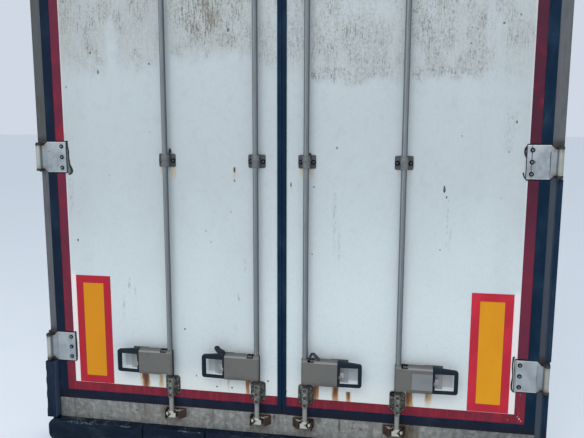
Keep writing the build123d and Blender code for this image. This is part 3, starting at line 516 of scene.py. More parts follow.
        above = z.rise(*self.marker_top)
        coat.lay(self.strip, abs(x).rise(*self.strip_low) * (1.0 - above) * 0.7
                 + abs(x).rise(*self.strip_high) * above * 0.25)
        fresh = graph.runs(self.here(self.rust_runs), waver)
        aged = graph.runs(self.here(self.dark_runs), waver)
        coat.lay(self.wash, (fresh * 1.1).least(0.8))
        coat.lay(self.rust, (fresh * (0.55 + waver * 0.9)).rise(0.35, 1.0) * z.rise(270.0, 420.0))
        coat.lay(self.old_rust, aged)
        broken = graph.noise(9.0, 3.0, 3.0, 0.7, 12.0).rise(0.46, 0.58)
        coat.lay(self.mould, graph.runs(self.here(self.scuffs), waver) * broken * 0.8)
        chips = graph.flecks(self.here(self.chips), grain)
        tiny = graph.cells(85.0, 1.2).fall(0.016, 0.026) * graph.noise(400.0, shift=2.0).rise(0.46, 0.56)
        coat.lay(self.hole, chips * 0.9 + tiny * 0.55)
        knocks = (graph.noise(14.0, 1.0, 4.0, 0.65, 9.0, wide=4.0).rise(0.56, 0.7) * z.fall(700.0, 1500.0) * 0.5
                  + faint * 0.4 + cloud.rise(0.45, 0.7) * 0.2)
        both_faces = graph.coat(self.inner).lay(self.inner_worn, knocks).lay(coat, outer)
        rough = 0.38 + grain * 0.08 + (dust + mould) * 0.3 * outer
        relief = graph.noise(22.0, detail=2.0) * 0.6 + grain * 0.2
        graph.surface(both_faces, rough.least(1.0), height=relief, depth=0.25)


@dataclass(frozen=True)
class Tape(Finish):
    """Crimson reflective sheeting with sealed cells, weathered in patches."""

    name: str = "reflective_tape"
    red: Colour = srgb(126, 34, 54)
    faded: Colour = srgb(98, 34, 59)
    fresh: Colour = srgb(154, 34, 52)
    deep: Colour = srgb(112, 22, 40)
    shade: Colour = srgb(64, 24, 46)
    dust: Colour = srgb(132, 92, 98)
    chalk: Colour = srgb(206, 190, 170)
    chips: tuple[Fleck, ...] = (
        Fleck(1173, 327, 4, 3), Fleck(1181, 316, 3, 3, 0.8), Fleck(1164, 337, 3, 2, 0.8), Fleck(1120, 318, 2, 2, 0.7),
        Fleck(1172, 450, 2, 2, 0.6))
    cell: float = 3.4
    foot_run: Span = (360.0, 420.0)

    def paint(self, graph: Graph) -> None:
        """Patches of fading over a mesh of cells, with dust and pale scuffs."""
        x, z = graph.x, graph.z
        patches = graph.noise(140.0, 1.0, 3.0, 0.55)
        upright = z.rise(420.0, 700.0)
        coat = graph.coat(self.red).lay(self.faded, patches.rise(0.4, 0.7) * 0.5 + upright * 0.55)
        low = z.fall(*self.foot_run)
        bands = graph.noise(16.0, 9.0, 3.0, 0.6, 6.0)
        coat.lay(self.deep, low * bands.rise(0.4, 0.6) * 0.6)
        coat.lay(self.shade, x.rise(1140.0, 1150.0) * z.rise(1150.0, 1450.0) * (0.45 + patches * 0.6))
        coat.lay(self.fresh, patches.fall(0.3, 0.48) * 0.4 + low * bands.fall(0.36, 0.48) * 0.35)
        walls = graph.cells(self.cell, feature="DISTANCE_TO_EDGE").fall(0.04, 0.12)
        coat.lay(self.dust, walls * 0.12)
        scuffs = graph.noise(5.0, 1.0, 4.0, 0.7, wide=2.2).rise(0.66, 0.76)
        scuffs = scuffs * graph.noise(90.0, shift=4.0).rise(0.48, 0.6)
        low_corner = x.band(1090.0, 1180.0, 60.0) * z.fall(380.0, 460.0)
        coat.lay(self.dust, scuffs * (0.3 + low_corner * 0.5))
        coat.lay(self.chalk, graph.flecks(self.chips, bands))
        graph.surface(coat, 0.34 + patches * 0.12, height=walls, depth=0.05, specular=0.15)


@dataclass(frozen=True)
class MarkerSheet(Finish):
    """Marker plate: fluorescent red border round a yellow reflective field."""

    name: str = "marker_sheet"
    red: Colour = srgb(202, 46, 66)
    deep: Colour = srgb(170, 34, 52)
    yellow: Colour = srgb(228, 157, 28)
    amber: Colour = srgb(208, 135, 26)
    edge: Colour = srgb(60, 44, 30)
    metal: Colour = srgb(134, 60, 66)
    field_x: Span = (965.0, 1080.0)
    field_z: Span = (390.0, 906.0)
    seam: float = 1.5

    def paint(self, graph: Graph) -> None:
        """Tells the field from the border by its place. The plate's edges are bare metal."""
        x, z = abs(graph.x), graph.z
        low_x, high_x = self.field_x
        low_z, high_z = self.field_z
        inside = x.band(low_x, high_x, 1.0) * z.band(low_z, high_z, 1.0)
        wider = self.seam
        seam = x.band(low_x - wider, high_x + wider, 1.0) * z.band(low_z - wider, high_z + wider, 1.0) - inside
        patches = graph.noise(120.0, 1.6, 3.0)
        specks = graph.noise(6.0, detail=3.0, rough=0.7).rise(0.66, 0.76)
        border = graph.coat(self.red).lay(self.deep, patches.rise(0.35, 0.65) * 0.6 + specks * 0.35)
        down = z.fall(430.0, 860.0)
        left = graph.x.fall(-1.0, 1.0)
        border.lay(self.deep, left * 0.8)
        bleached = (patches * 0.9 + down * 0.35).least(1.0) * (1.0 - left * 0.6)
        field = graph.coat(self.amber).lay(self.yellow, bleached).lay(self.amber, specks * 0.35)
        sheet = border.lay(field, inside).lay(self.edge, seam * 0.5)
        coat = graph.coat(self.metal).lay(sheet, graph.out.rise(0.9, 1.05))
        cells = graph.cells(3.0, feature="DISTANCE_TO_EDGE").fall(0.05, 0.14)
        graph.surface(coat, 0.3 + specks * 0.2, height=cells, depth=0.04, specular=0.15)


@dataclass(frozen=True)
class Rubber(Finish):
    """Navy-black rubber with bloom and scuffs."""

    name: str = "rubber"
    dark: Colour = srgb(7, 34, 56)
    bloom: Colour = srgb(28, 52, 74)
    dust: Colour = srgb(112, 114, 110)
    soiled: Colour = srgb(34, 30, 40)
    dustiness: float = 0.10
    grain: float = 4.0

    def paint(self, graph: Graph) -> None:
        """A soft bloom, fine grain and a little dust in the low places."""
        patches = graph.noise(90.0, 2.0, 4.0, 0.6)
        fine = graph.noise(self.grain, detail=3.0, rough=0.6)
        coat = graph.coat(self.dark).lay(self.bloom, patches.rise(0.42, 0.72) * 0.7)
        soil = graph.z.fall(262.0, 310.0) * 0.7 + graph.x.fall(-1100.0, -1000.0) * 0.25
        coat.lay(self.soiled, soil.least(0.7))
        specks = fine.rise(0.62, 0.74) * graph.noise(60.0, shift=9.0).rise(0.45, 0.6)
        coat.lay(self.dust, (specks * 0.4 + patches.rise(0.6, 0.8) * 0.6) * self.dustiness)
        graph.surface(coat, 0.55 + fine * 0.2, height=fine, depth=0.3, specular=0.1)


@dataclass(frozen=True)
class GuardRubber(Finish):
    """Corner guard's rubber, bloomed in long patches, with painted light on its paler inner side."""

    name: str = "guard_rubber"
    dark: Colour = srgb(16, 33, 50)
    bloom: Colour = srgb(36, 51, 68)
    flank: Colour = srgb(62, 76, 100)
    flank_x: Span = (-1252.0, -1248.5)

    def paint(self, graph: Graph) -> None:
        """Bloom over the face, and painted light on the paler inner side, told by its place."""
        patches = graph.noise(50.0, 3.0, 4.0, 0.6)
        fine = graph.noise(4.0, detail=3.0, rough=0.6)
        coat = graph.coat(self.dark).lay(self.bloom, patches.rise(0.34, 0.66))
        # Painted light: the inner side is painted paler.
        coat.lay(self.flank, graph.x.rise(*self.flank_x) * (0.7 + patches * 0.3))
        graph.surface(coat, 0.55 + fine * 0.2, height=fine, depth=0.3, specular=0.1)


@dataclass(frozen=True)
class BufferRubber(Finish):
    """Buffer rubber, scuffed pale along its top edge, with painted highlight specks there, and pitted on its face."""

    name: str = "buffer_rubber"
    dark: Colour = srgb(6, 24, 42)
    bloom: Colour = srgb(26, 42, 58)
    scuff: Colour = srgb(104, 112, 120)
    chalk: Colour = srgb(150, 160, 168)
    nicks: tuple[Fleck, ...] = (
        Fleck(-850, 132, 34, 5), Fleck(-523, 132, 30, 5), Fleck(-440, 132, 16, 4, 0.8), Fleck(-1120, 131, 70, 7),
        Fleck(-1040, 131, 40, 7), Fleck(1000, 132, 60, 5, 0.8), Fleck(940, 131, 14, 4), Fleck(1180, 120, 14, 5, 0.7))
    top: float = 137.0

    def paint(self, graph: Graph) -> None:
        """Scuffs gather at the top edge and in a few scrapes along the face; painted highlight specks lie near the top
        edge.
        """
        x, z = graph.x, graph.z
        fine = graph.noise(9.0, 1.0, 4.0, 0.65, wide=3.0)
        patches = graph.noise(80.0, 1.0, 4.0, 0.6, wide=2.0)
        rim = z.rise(self.top - 16.0, self.top - 2.0)
        scrape = (fine * 0.6 + patches * 0.5).rise(0.58, 0.74)
        coat = graph.coat(self.dark).lay(self.bloom, patches.rise(0.4, 0.7))
        coat.lay(self.scuff, scrape * (0.16 + rim * 0.75))
        pits = graph.cells(26.0, wide=1.4).fall(0.07, 0.12)
        coat.lay(self.dark, pits * 0.8)
        # Painted highlight specks near the top edge.
        highlight_breakup = graph.noise(7.0, 1.0, 3.0, 0.7, 2.0, wide=1.8).rise(0.5, 0.6)
        coat.lay(self.chalk, graph.flecks(self.nicks, fine) * highlight_breakup * 0.5)
        relief = fine * 0.6 - pits * 0.5
        graph.surface(coat, 0.5 + fine * 0.3, height=relief, depth=0.8, specular=0.15)


@dataclass(frozen=True)
class Stainless(Finish):
    """Hinge straps: pale brushed stainless, dimpled, with a stain by the knuckle."""

    name: str = "stainless"
    pale: Colour = srgb(170, 180, 186)
    shade: Colour = srgb(136, 144, 153)
    cream: Colour = srgb(176, 182, 174)
    line: Colour = srgb(46, 54, 62)
    stain: Colour = srgb(112, 96, 72)
    bright: Colour = srgb(206, 212, 212)
    bend_x: float = 1240.0
    knuckle_x: float = 1266.0
    lines: tuple[Run, ...] = (
        Run(1240, 1622, 1470, 2.2), Run(1240, 606, 470, 1.5, 0.7), Run(-1240, 606, 470, 2.4, 0.35),
        Run(1159, 1652, 1440, 2.6), Run(1143, 628, 390, 1.6, 0.8), Run(1240, 2650, 2470, 1.6, 0.6),
        Run(-1240, 2650, 2470, 1.6, 0.5))
    dents: tuple[Fleck, ...] = (
        Fleck(1175, 1572, 3, 6, 0.7), Fleck(1186, 1572, 2, 4, 0.5), Fleck(-1232, 1600, 5, 4, 0.6),
        Fleck(-1225, 1586, 3, 3, 0.5))

    def paint(self, graph: Graph) -> None:
        """Brushed grain, painted shade in the bends and on the slanted part, a painted highlight on the plate's edges,
        and stains where water runs from the knuckle.
        """
        x, z = abs(graph.x), graph.z
        brushed = graph.noise(3.0, 16.0, 3.0, 0.6)
        cloud = graph.noise(46.0, 1.3, 4.0, 0.6)
        coat = graph.coat(self.pale).lay(self.shade, cloud.rise(0.35, 0.7) * 0.7 + brushed * 0.25)
        coat.lay(self.shade, x.band(self.bend_x, self.knuckle_x, 6.0) * 0.5)
        near = abs(z.about(MID_Z, HINGE_PITCH))
        knuckle = x.rise(self.knuckle_x, self.knuckle_x + 3.0)
        coat.lay(self.cream, knuckle * 0.7)
        coat.lay(self.stain, knuckle * graph.x.sign().most(0.0) * (0.05 + cloud * 0.35))
        # Painted shade: the dark lines and the crease by the knuckle, with the dents darkened too.
        bend = graph.runs(self.lines, cloud)
        crease = x.band(self.knuckle_x - 2.0, self.knuckle_x + 3.0, 4.0)
        marks = (bend + graph.flecks(self.dents, cloud)).least(1.0)
        coat.lay(self.line, marks * 0.9 + crease * 0.45)
        ends = near.rise(36.0, 60.0) * x.rise(self.knuckle_x - 30.0, self.knuckle_x - 6.0)
        coat.lay(self.stain, ends * cloud.rise(0.3, 0.6) * 0.7)
        specks = graph.noise(7.0, detail=3.0, rough=0.7, shift=2.0).rise(0.68, 0.78)
        coat.lay(self.line, specks * 0.35)
        # Painted highlight along the plate's top and bottom edges.
        rim = near.rise(73.0, 76.5) * x.fall(self.bend_x, self.bend_x + 10.0)
        coat.lay(self.bright, rim * 0.6)
        relief = cloud * 0.5 + brushed * 0.2 - bend
        graph.surface(coat, 0.42 + brushed * 0.15, 0.35, height=relief, depth=0.5)


@dataclass(frozen=True)
class StainedZinc(Finish):
    """Galvanised sheet steel, spangled and weathered, with stains running down it."""

    name: str
    pale: Colour = srgb(150, 153, 151)
    dull: Colour = srgb(112, 114, 111)
    light: Colour = srgb(176, 178, 172)
    stain: Colour = srgb(92, 79, 60)
    mark: Colour = srgb(48, 46, 44)
    runs: tuple[Run, ...] = ()
    flecks: tuple[Fleck, ...] = ()
    front_out: Span = (-40.0, -20.0)
    spangle: float = 15.0
    metal: float = 0.25

    def paint(self, graph: Graph) -> None:
        """Spangle, long stains, brown runs beside the keepers and dark ticks."""
        spangle = graph.cells(self.spangle)
        runs = graph.noise(15.0, 9.0, 4.0, 0.6)
        cloud = graph.noise(120.0, 1.0, 4.0, 0.6, wide=1.6)
        mottle = graph.noise(26.0, detail=4.0, rough=0.6, shift=6.0)
        dulled = spangle * 0.35 + runs.rise(0.3, 0.7) * 0.4 + mottle.rise(0.35, 0.65) * 0.5 - 0.2
        coat = graph.coat(self.pale).lay(self.dull, dulled)
        coat.lay(self.light, mottle.fall(0.36, 0.46) * 0.4)
        coat.lay(self.stain, cloud.rise(0.5, 0.75) * runs.rise(0.4, 0.62) * 0.5)
        fine = graph.noise(5.0, detail=4.0, rough=0.7)
        specks = fine.rise(0.66, 0.76) * cloud.rise(0.4, 0.6) * 0.5
        if self.runs:
            front = graph.out.rise(*self.front_out)
            coat.lay(self.stain, graph.runs(self.runs, runs) * front)
            # The sill is darker towards both ends.
            ends = graph.x.rise(680.0, 1000.0) * 0.5 + graph.x.fall(-1180.0, -980.0) * 0.3
            coat.lay(self.mark, ends * front * (0.4 + mottle * 0.6))
            specks = (specks + graph.flecks(self.flecks, fine) * front).least(1.0)
        coat.lay(self.mark, specks * 0.85)
        graph.surface(coat, 0.5 + runs * 0.2, self.metal, height=fine * 0.5 + spangle * 0.3, depth=0.4)


@dataclass(frozen=True)
class PostSteel(Finish):
    """Weathered steel post, part of its face under navy rubber."""

    name: str
    high: Colour
    low: Colour
    rubber_from: float
    rubber_top: float
    dark: Colour = srgb(52, 50, 50)
    stain: Colour = srgb(70, 60, 50)
    rubber: Colour = srgb(22, 43, 64)
    worn_rubber: Colour = srgb(46, 60, 78)
    bracket_top: float = 76.0
    change: Span = (1480.0, 1600.0)

    def paint(self, graph: Graph) -> None:
        """Two tones, one above the middle hinge and one below, dark above each hinge."""
        x, z = abs(graph.x), graph.z
        cloud = graph.noise(90.0, 2.0, 4.0, 0.6)
        runs = graph.noise(9.0, 14.0, 4.0, 0.6)
        fine = graph.noise(6.0, detail=4.0, rough=0.65)
        coat = graph.coat(self.low).lay(self.high, z.rise(*self.change))
        coat.lay(self.dark, runs.rise(0.45, 0.7) * 0.3 + fine.rise(0.55, 0.75) * 0.3)
        coat.lay(self.stain, cloud.rise(0.5, 0.7) * 0.35)
        over = abs(z.about(MID_Z + self.bracket_top, HINGE_PITCH))
        coat.lay(self.dark, over.fall(8.0, 40.0) * (0.3 + cloud))
        clad = x.rise(self.rubber_from - 1.0, self.rubber_from + 1.0) * z.fall(self.rubber_top - 2.0, self.rubber_top)
        coat.lay(graph.coat(self.rubber).lay(self.worn_rubber, cloud.rise(0.4, 0.65) * 0.5), clad)
        graph.surface(coat, 0.55 + fine * 0.2, 0.1, height=fine, depth=0.4, specular=0.3)


@dataclass(frozen=True)
class RodTube(Finish):
    """Galvanised tube, grey, with painted shade on its flanks and a painted highlight down it, and forged cams worn
    bright and rusty.
    """

    name: str = "rod_tube"
    pale: Colour = srgb(146, 153, 157)
    dull: Colour = srgb(108, 116, 120)
    flank: Colour = srgb(78, 84, 94)
    dirt: Colour = srgb(88, 84, 78)
    shank: Colour = srgb(150, 152, 146)
    cam_bright: Colour = srgb(196, 197, 190)
    cam_dark: Colour = srgb(44, 40, 38)
    rust: Colour = srgb(104, 64, 42)
    gap: Colour = srgb(14, 13, 14)
    cam_top: float = 241.0
    shank_top: float = 424.0
    face_out: float = 47.2
    groove_from: float = 8.0
    groove_slope: float = 0.95

    def paint(self, graph: Graph) -> None:
        """Tube and shank above, worn cam faces below, the same at the head, with painted shadow in the gap and the
        grooves.
        """
        level = graph.level()
        across = graph.from_rod() * graph.x.sign()
        runs = graph.noise(4.0, 30.0, 3.0, 0.6)
        cloud = graph.noise(30.0, 6.0, 4.0, 0.6)
        fine = graph.noise(6.0, detail=4.0, rough=0.65)
        # Pale streaks, and a painted highlight line down the tube.
        coat = graph.coat(self.dull).lay(self.pale, runs.rise(0.35, 0.75) * 0.4 + across.band(-6.5, -2.0, 3.0) * 0.6)
        # Painted shade on the tube's flanks.
        coat.lay(self.flank, abs(across + 1.0).rise(8.5, 12.0) * 0.75)
        coat.lay(self.dirt, cloud.rise(0.55, 0.75) * 0.35)
        shank = level.fall(self.shank_top, self.shank_top + 6.0)
        coat.lay(self.shank, shank * (0.55 + fine * 0.4))
        # Painted shadow in the gap between the bearing and the handle.
        coat.lay(self.gap, level.band(self.shank_top - 1.0, self.shank_top + 23.0, 2.0) * 0.85)
        cam = level.fall(self.cam_top + 1.0, self.cam_top + 5.0)
        worn = graph.out.rise(self.face_out - 2.5, self.face_out) * (0.55 + fine * 0.7)
        top = level.rise(self.cam_top - 4.0, self.cam_top - 1.0) * fine.rise(0.4, 0.6) * 0.8
        cam_paint = graph.coat(self.cam_dark).lay(self.rust, fine.rise(0.45, 0.7) * 0.6)
        # Painted shade in the groove of each cam.
        gap = graph.from_rod() - self.groove_from - abs(level - CAM_Z) * self.groove_slope
        cam_paint.lay(self.cam_bright, worn.most(top) * gap.fall(-4.0, -2.5))
        coat.lay(cam_paint.lay(self.gap, gap.band(-3.2, 3.2, 1.0)), cam)
        graph.surface(coat, 0.42 + fine * 0.25, 0.3, height=fine, depth=0.25)


@dataclass(frozen=True)
class CastHandle(Finish):
    """Dull cast alloy handle body, painted lighter where it slopes as painted light, with sand-cast grain."""

    name: str = "cast_handle"
    face: Colour = srgb(108, 109, 106)
    pale: Colour = srgb(142, 147, 149)
    side: Colour = srgb(22, 28, 38)
    dirt: Colour = srgb(80, 77, 71)
    black: Colour = srgb(16, 16, 18)
    recess: Colour = srgb(132, 137, 138)
    line: Colour = srgb(84, 90, 94)
    foot: float = 446.0
    slope: float = 563.0
    slot: Span = (14.0, 48.0)
    recess_x: Span = (651.0, 753.5)
    recess_z: Span = (458.0, 548.0)
    slots_x: Span = (694.0, 750.0)
    slots_z: Span = (484.0, 524.0)
    slot_pitch: float = 7.5
    recess_out: Span = (57.0, 59.5)
    lid_out: float = 61.0
    lid_fall: float = 0.77

    def paint(self, graph: Graph) -> None:
        """Grain all over, dirt along the foot, painted light and shade, and the bared recess of the right outer
        handle.
        """
        x, z = graph.x, graph.z
        grain = graph.noise(4.0, detail=4.0, rough=0.7)
        cloud = graph.noise(60.0, 1.4, 4.0, 0.6)
        coat = graph.coat(self.face).lay(self.dirt, cloud.rise(0.5, 0.8) * 0.45 + grain.rise(0.62, 0.75) * 0.4)
        along = graph.from_rod()
        # Painted highlight on the top slope.
        slope = z.band(self.slope, self.slope + 7.0, 1.5) * (0.35 + along.rise(10.0, 60.0) * 0.65)
        coat.lay(self.pale, slope * (0.6 + grain * 0.5))
        foot = z.fall(self.foot + 4.0, self.foot + 22.0) * cloud.rise(0.3, 0.6)
        coat.lay(self.dirt, foot * 0.55)
        # Painted shade in the slot at the top.
        sunk = self.lid_out - graph.out - (z - self.slope).most(0.0) * self.lid_fall
        slot = along.band(*self.slot, 1.0) * z.rise(self.slope - 60.0, self.slope - 55.0) * sunk.rise(0.5, 1.2)
        coat.lay(self.black, slot)
        # Painted shadow along the foot, over the gap above the bearing.
        coat.lay(self.black, z.fall(self.foot + 0.5, self.foot + 2.5) * along.fall(44.0, 50.0) * 0.85)
        # Painted shade on the hub's side face.
        side = along.fall(-16.4, -15.6)
        coat.lay(self.side, side)
        floor = x.band(*self.recess_x, 1.0) * z.band(*self.recess_z, 1.0) * graph.out.band(*self.recess_out, 1.0)
        stripes = z.wrap(self.slot_pitch).band(2.6, 4.4, 1.2) * x.band(*self.slots_x, 6.0) * z.band(*self.slots_z, 3.0)
        rim = 1.0 - (x.band(self.recess_x[0] + 3.0, self.recess_x[1], 2.0)
                     * z.band(self.recess_z[0] + 3.0, self.recess_z[1] - 3.0, 2.0))
        floor_paint = graph.coat(self.recess).lay(self.line, stripes * 0.4 + grain.rise(0.6, 0.75) * 0.2 + rim * 0.8)
        coat.lay(floor_paint, floor)
        graph.surface(coat, 0.5 + grain * 0.2 + side * 0.3, (1.0 - side) * 0.25,
                      height=grain - stripes * floor, depth=0.45, specular=0.3)


@dataclass(frozen=True)
class BlackPlastic(Finish):
    """Moulded black plastic, greyed by the sun."""

    name: str = "black_plastic"
    dark: Colour = srgb(14, 27, 40)
    grey: Colour = srgb(40, 50, 62)

    def paint(self, graph: Graph) -> None:
        """Moulded grain, greyer in patches and along the top."""
        grain = graph.noise(2.4, detail=3.0, rough=0.6)
        patches = graph.noise(34.0, detail=4.0, rough=0.6)
        coat = graph.coat(self.dark).lay(self.grey, patches.rise(0.45, 0.75) * 0.5 + graph.z.rise(550.0, 579.0) * 0.25)
        graph.surface(coat, 0.48 + patches * 0.2, height=grain, depth=0.2, specular=0.2)


@dataclass(frozen=True)
class WeatheredZinc(Finish):
    """Zinc-plated pressings and castings of the door gear, grimy, browned in the corners."""

    name: str
    pale: Colour = srgb(128, 130, 126)
    dull: Colour = srgb(84, 84, 82)
    dirt: Colour = srgb(52, 50, 48)
    brown: Colour = srgb(98, 74, 50)
    black: Colour = srgb(18, 19, 21)
    flake: Colour = srgb(172, 176, 174)
    bright_out: float = 46.0
    browned: float = 0.35
    # Rims darkened beyond so far from the rod and above such a height. By default there are none.
    rim: float = 500.0
    rim_top: float = 5000.0
    bores: tuple[float, ...] = ()
    ring: Span | None = None
    speckle: float = 0.0

    def paint(self, graph: Graph) -> None:
        """Grime lies near the door and wears away on what stands proud; the rims are darkened, and painted highlights
        speckle the bearings.
        """
        cloud = graph.noise(24.0, 1.6, 4.0, 0.65)
        fine = graph.noise(5.0, detail=4.0, rough=0.7)
        across, level = abs(graph.from_rod()), graph.level()
        proud = graph.out.rise(8.0, self.bright_out)
        coat = graph.coat(self.dull).lay(self.pale, proud * 0.55 + cloud.rise(0.35, 0.7) * 0.45)
        coat.lay(self.dirt, fine.rise(0.5, 0.7) * 0.55 + (1.0 - proud) * cloud * 0.5)
        coat.lay(self.brown, cloud.rise(0.52, 0.7) * fine.rise(0.4, 0.6) * self.browned)
        # Painted highlight specks, with dark specks among them.
        if self.speckle:
            speck_noise = graph.noise(12.0, detail=3.0, rough=0.7, shift=3.0)
            coat.lay(self.flake, speck_noise.rise(0.53, 0.62) * self.speckle)
            coat.lay(self.black, speck_noise.fall(0.38, 0.46) * self.speckle)
        shade = across.rise(self.rim, self.rim + 2.5).most(graph.z.rise(self.rim_top, self.rim_top + 2.0)) * 0.8
        for bore in self.bores:
            reach = across.square() + (level - bore).square()
            coat.lay(self.pale, reach.fall(120.0, 160.0) * 0.6)
            shade = shade.most(reach.fall(48.0, 66.0))
        if self.ring:
            ring_x, ring_z = self.ring
            reach = (across - ring_x).square() + (level - ring_z).square()
            shade = shade.most(reach.fall(100.0, 150.0))
        coat.lay(self.black, shade)
        graph.surface(coat, 0.5 + fine * 0.25, 0.25, height=fine * 0.6 + cloud * 0.4, depth=0.5)


@dataclass(frozen=True)
class RustyCasting(Finish):
    """Cast keepers: rusty, with the wedge rubbed bright and a painted highlight along the hook's rim."""

    name: str = "rusty_casting"
    iron: Colour = srgb(56, 48, 43)
    rust: Colour = srgb(88, 52, 38)
    pale: Colour = srgb(190, 192, 186)
    grime: Colour = srgb(28, 25, 25)
    hook: Span = (-66.0, -20.0)
    wedge: Span = (13.0, 29.0)
    stop: float = 28.5
    top: float = 241.0

    def paint(self, graph: Graph) -> None:
        """Rust in patches, bright metal where the cams rub, and a painted highlight on the hook's rim."""
        cloud = graph.noise(16.0, detail=4.0, rough=0.65)
        fine = graph.noise(4.0, detail=4.0, rough=0.7)
        along = graph.from_rod()
        level = graph.level()
        coat = graph.coat(self.iron).lay(self.rust, cloud.rise(0.4, 0.65) * 0.9)
        coat.lay(self.grime, fine.rise(0.52, 0.7) * 0.6)
        coat.lay(self.grime, along.rise(self.stop, self.stop + 1.0) * (0.45 + fine * 0.5))
        wedge = along.band(*self.wedge, 1.0) * graph.out.rise(39.5, 40.5)
        # Painted highlight along the hook's top rim.
        rim = along.band(*self.hook, 2.0) * level.rise(self.top - 5.0, self.top - 1.0) * graph.out.rise(12.0, 20.0)
        rubbed = (wedge + rim * (0.3 + cloud.rise(0.4, 0.6) * 0.7)).least(1.0)
        coat.lay(self.pale, rubbed * (0.6 + fine * 0.5))
        graph.surface(coat, 0.55 + fine * 0.25, 0.3, height=fine * 0.5 + cloud * 0.5, depth=0.8)


@dataclass(frozen=True)
class SmallPart(Finish):
    """Bolt heads, washers, sealant and other small things: one tone with dirt in it."""

    name: str
    tone: Colour
    dirt: Colour
    grain: float = 3.0
    rough: float = 0.5
    metal: float = 0.0
    gloss: float = 0.5

    def paint(self, graph: Graph) -> None:
        """Dirt in patches over the tone."""
        fine = graph.noise(self.grain, detail=4.0, rough=0.65)
        coat = graph.coat(self.tone).lay(self.dirt, fine.rise(0.42, 0.66) * 0.75)
        graph.surface(coat, self.rough + fine * 0.2, self.metal, height=fine, depth=0.25, specular=self.gloss)


@dataclass(frozen=True)
class PaleFloor(Finish):
    """The plain pale floor of the stage, a little bluer to the camera than to the light that it throws back."""

    name: str = "pale_floor"
    tone: Colour = srgb(246, 251, 255)
    shade: Colour = srgb(238, 244, 251)
    glow: Colour = (0.02, 0.05, 0.10, 1.0)

    def paint(self, graph: Graph) -> None:
        """Almost even, with the faintest cloud."""
        cloud = graph.noise(900.0, detail=2.0)
        seen = graph.node("ShaderNodeLightPath").outputs["Is Camera Ray"]
        glow = graph.coat((0.0, 0.0, 0.0, 1.0)).lay(self.glow, seen)
        graph.surface(graph.coat(self.tone).lay(self.shade, cloud * 0.5), 0.9, specular=0.1, glow=glow)


BOLT_STEEL = SmallPart("bolt_steel", srgb(128, 134, 138), srgb(70, 72, 74), metal=0.3)
DARK_BOLT = SmallPart("dark_bolt", srgb(52, 54, 58), srgb(30, 30, 32), rough=0.45, metal=0.2)
GUIDE_BOLT = SmallPart("guide_bolt", srgb(92, 90, 98), srgb(50, 48, 54), rough=0.45, metal=0.2)
PLATED_BOLT = SmallPart("plated_bolt", srgb(112, 114, 110), srgb(76, 72, 66), metal=0.3)
NOSE_STEEL = SmallPart("nose_steel", srgb(200, 202, 196), srgb(150, 146, 138), grain=6.0, metal=0.2)
LUG_STEEL = SmallPart("lug_steel", srgb(40, 42, 46), srgb(70, 70, 70), grain=6.0, rough=0.6, gloss=0.3)
BENT_STEEL = SmallPart("bent_steel", srgb(34, 38, 46), srgb(92, 96, 100), grain=9.0, rough=0.55, gloss=0.3)
RUSTY_BOLT = SmallPart("rusty_bolt", srgb(96, 62, 44), srgb(48, 38, 34), rough=0.7)
BLACK_WASHER = SmallPart("black_washer", srgb(6, 9, 12), srgb(22, 26, 30), rough=0.7, gloss=0.1)
SEALANT = SmallPart("black_sealant", srgb(22, 28, 32), srgb(84, 92, 90), grain=9.0, rough=0.7, gloss=0.2)
GREY_SEALANT = SmallPart("grey_sealant", srgb(104, 115, 114), srgb(64, 72, 72), grain=11.0, rough=0.7, gloss=0.2)
TORN_RUBBER = SmallPart("torn_rubber", srgb(22, 26, 34), srgb(62, 68, 74), grain=11.0, rough=0.7, gloss=0.25)
BRACKET_STEEL = SmallPart("bracket_steel", srgb(44, 48, 54), srgb(78, 74, 68), grain=14.0, rough=0.6, metal=0.2)
SCUFF_ALLOY = SmallPart("scuff_alloy", srgb(176, 180, 182), srgb(150, 153, 154), grain=30.0, rough=0.4, metal=0.5)


# ---------------------------------------------------------------- modelling


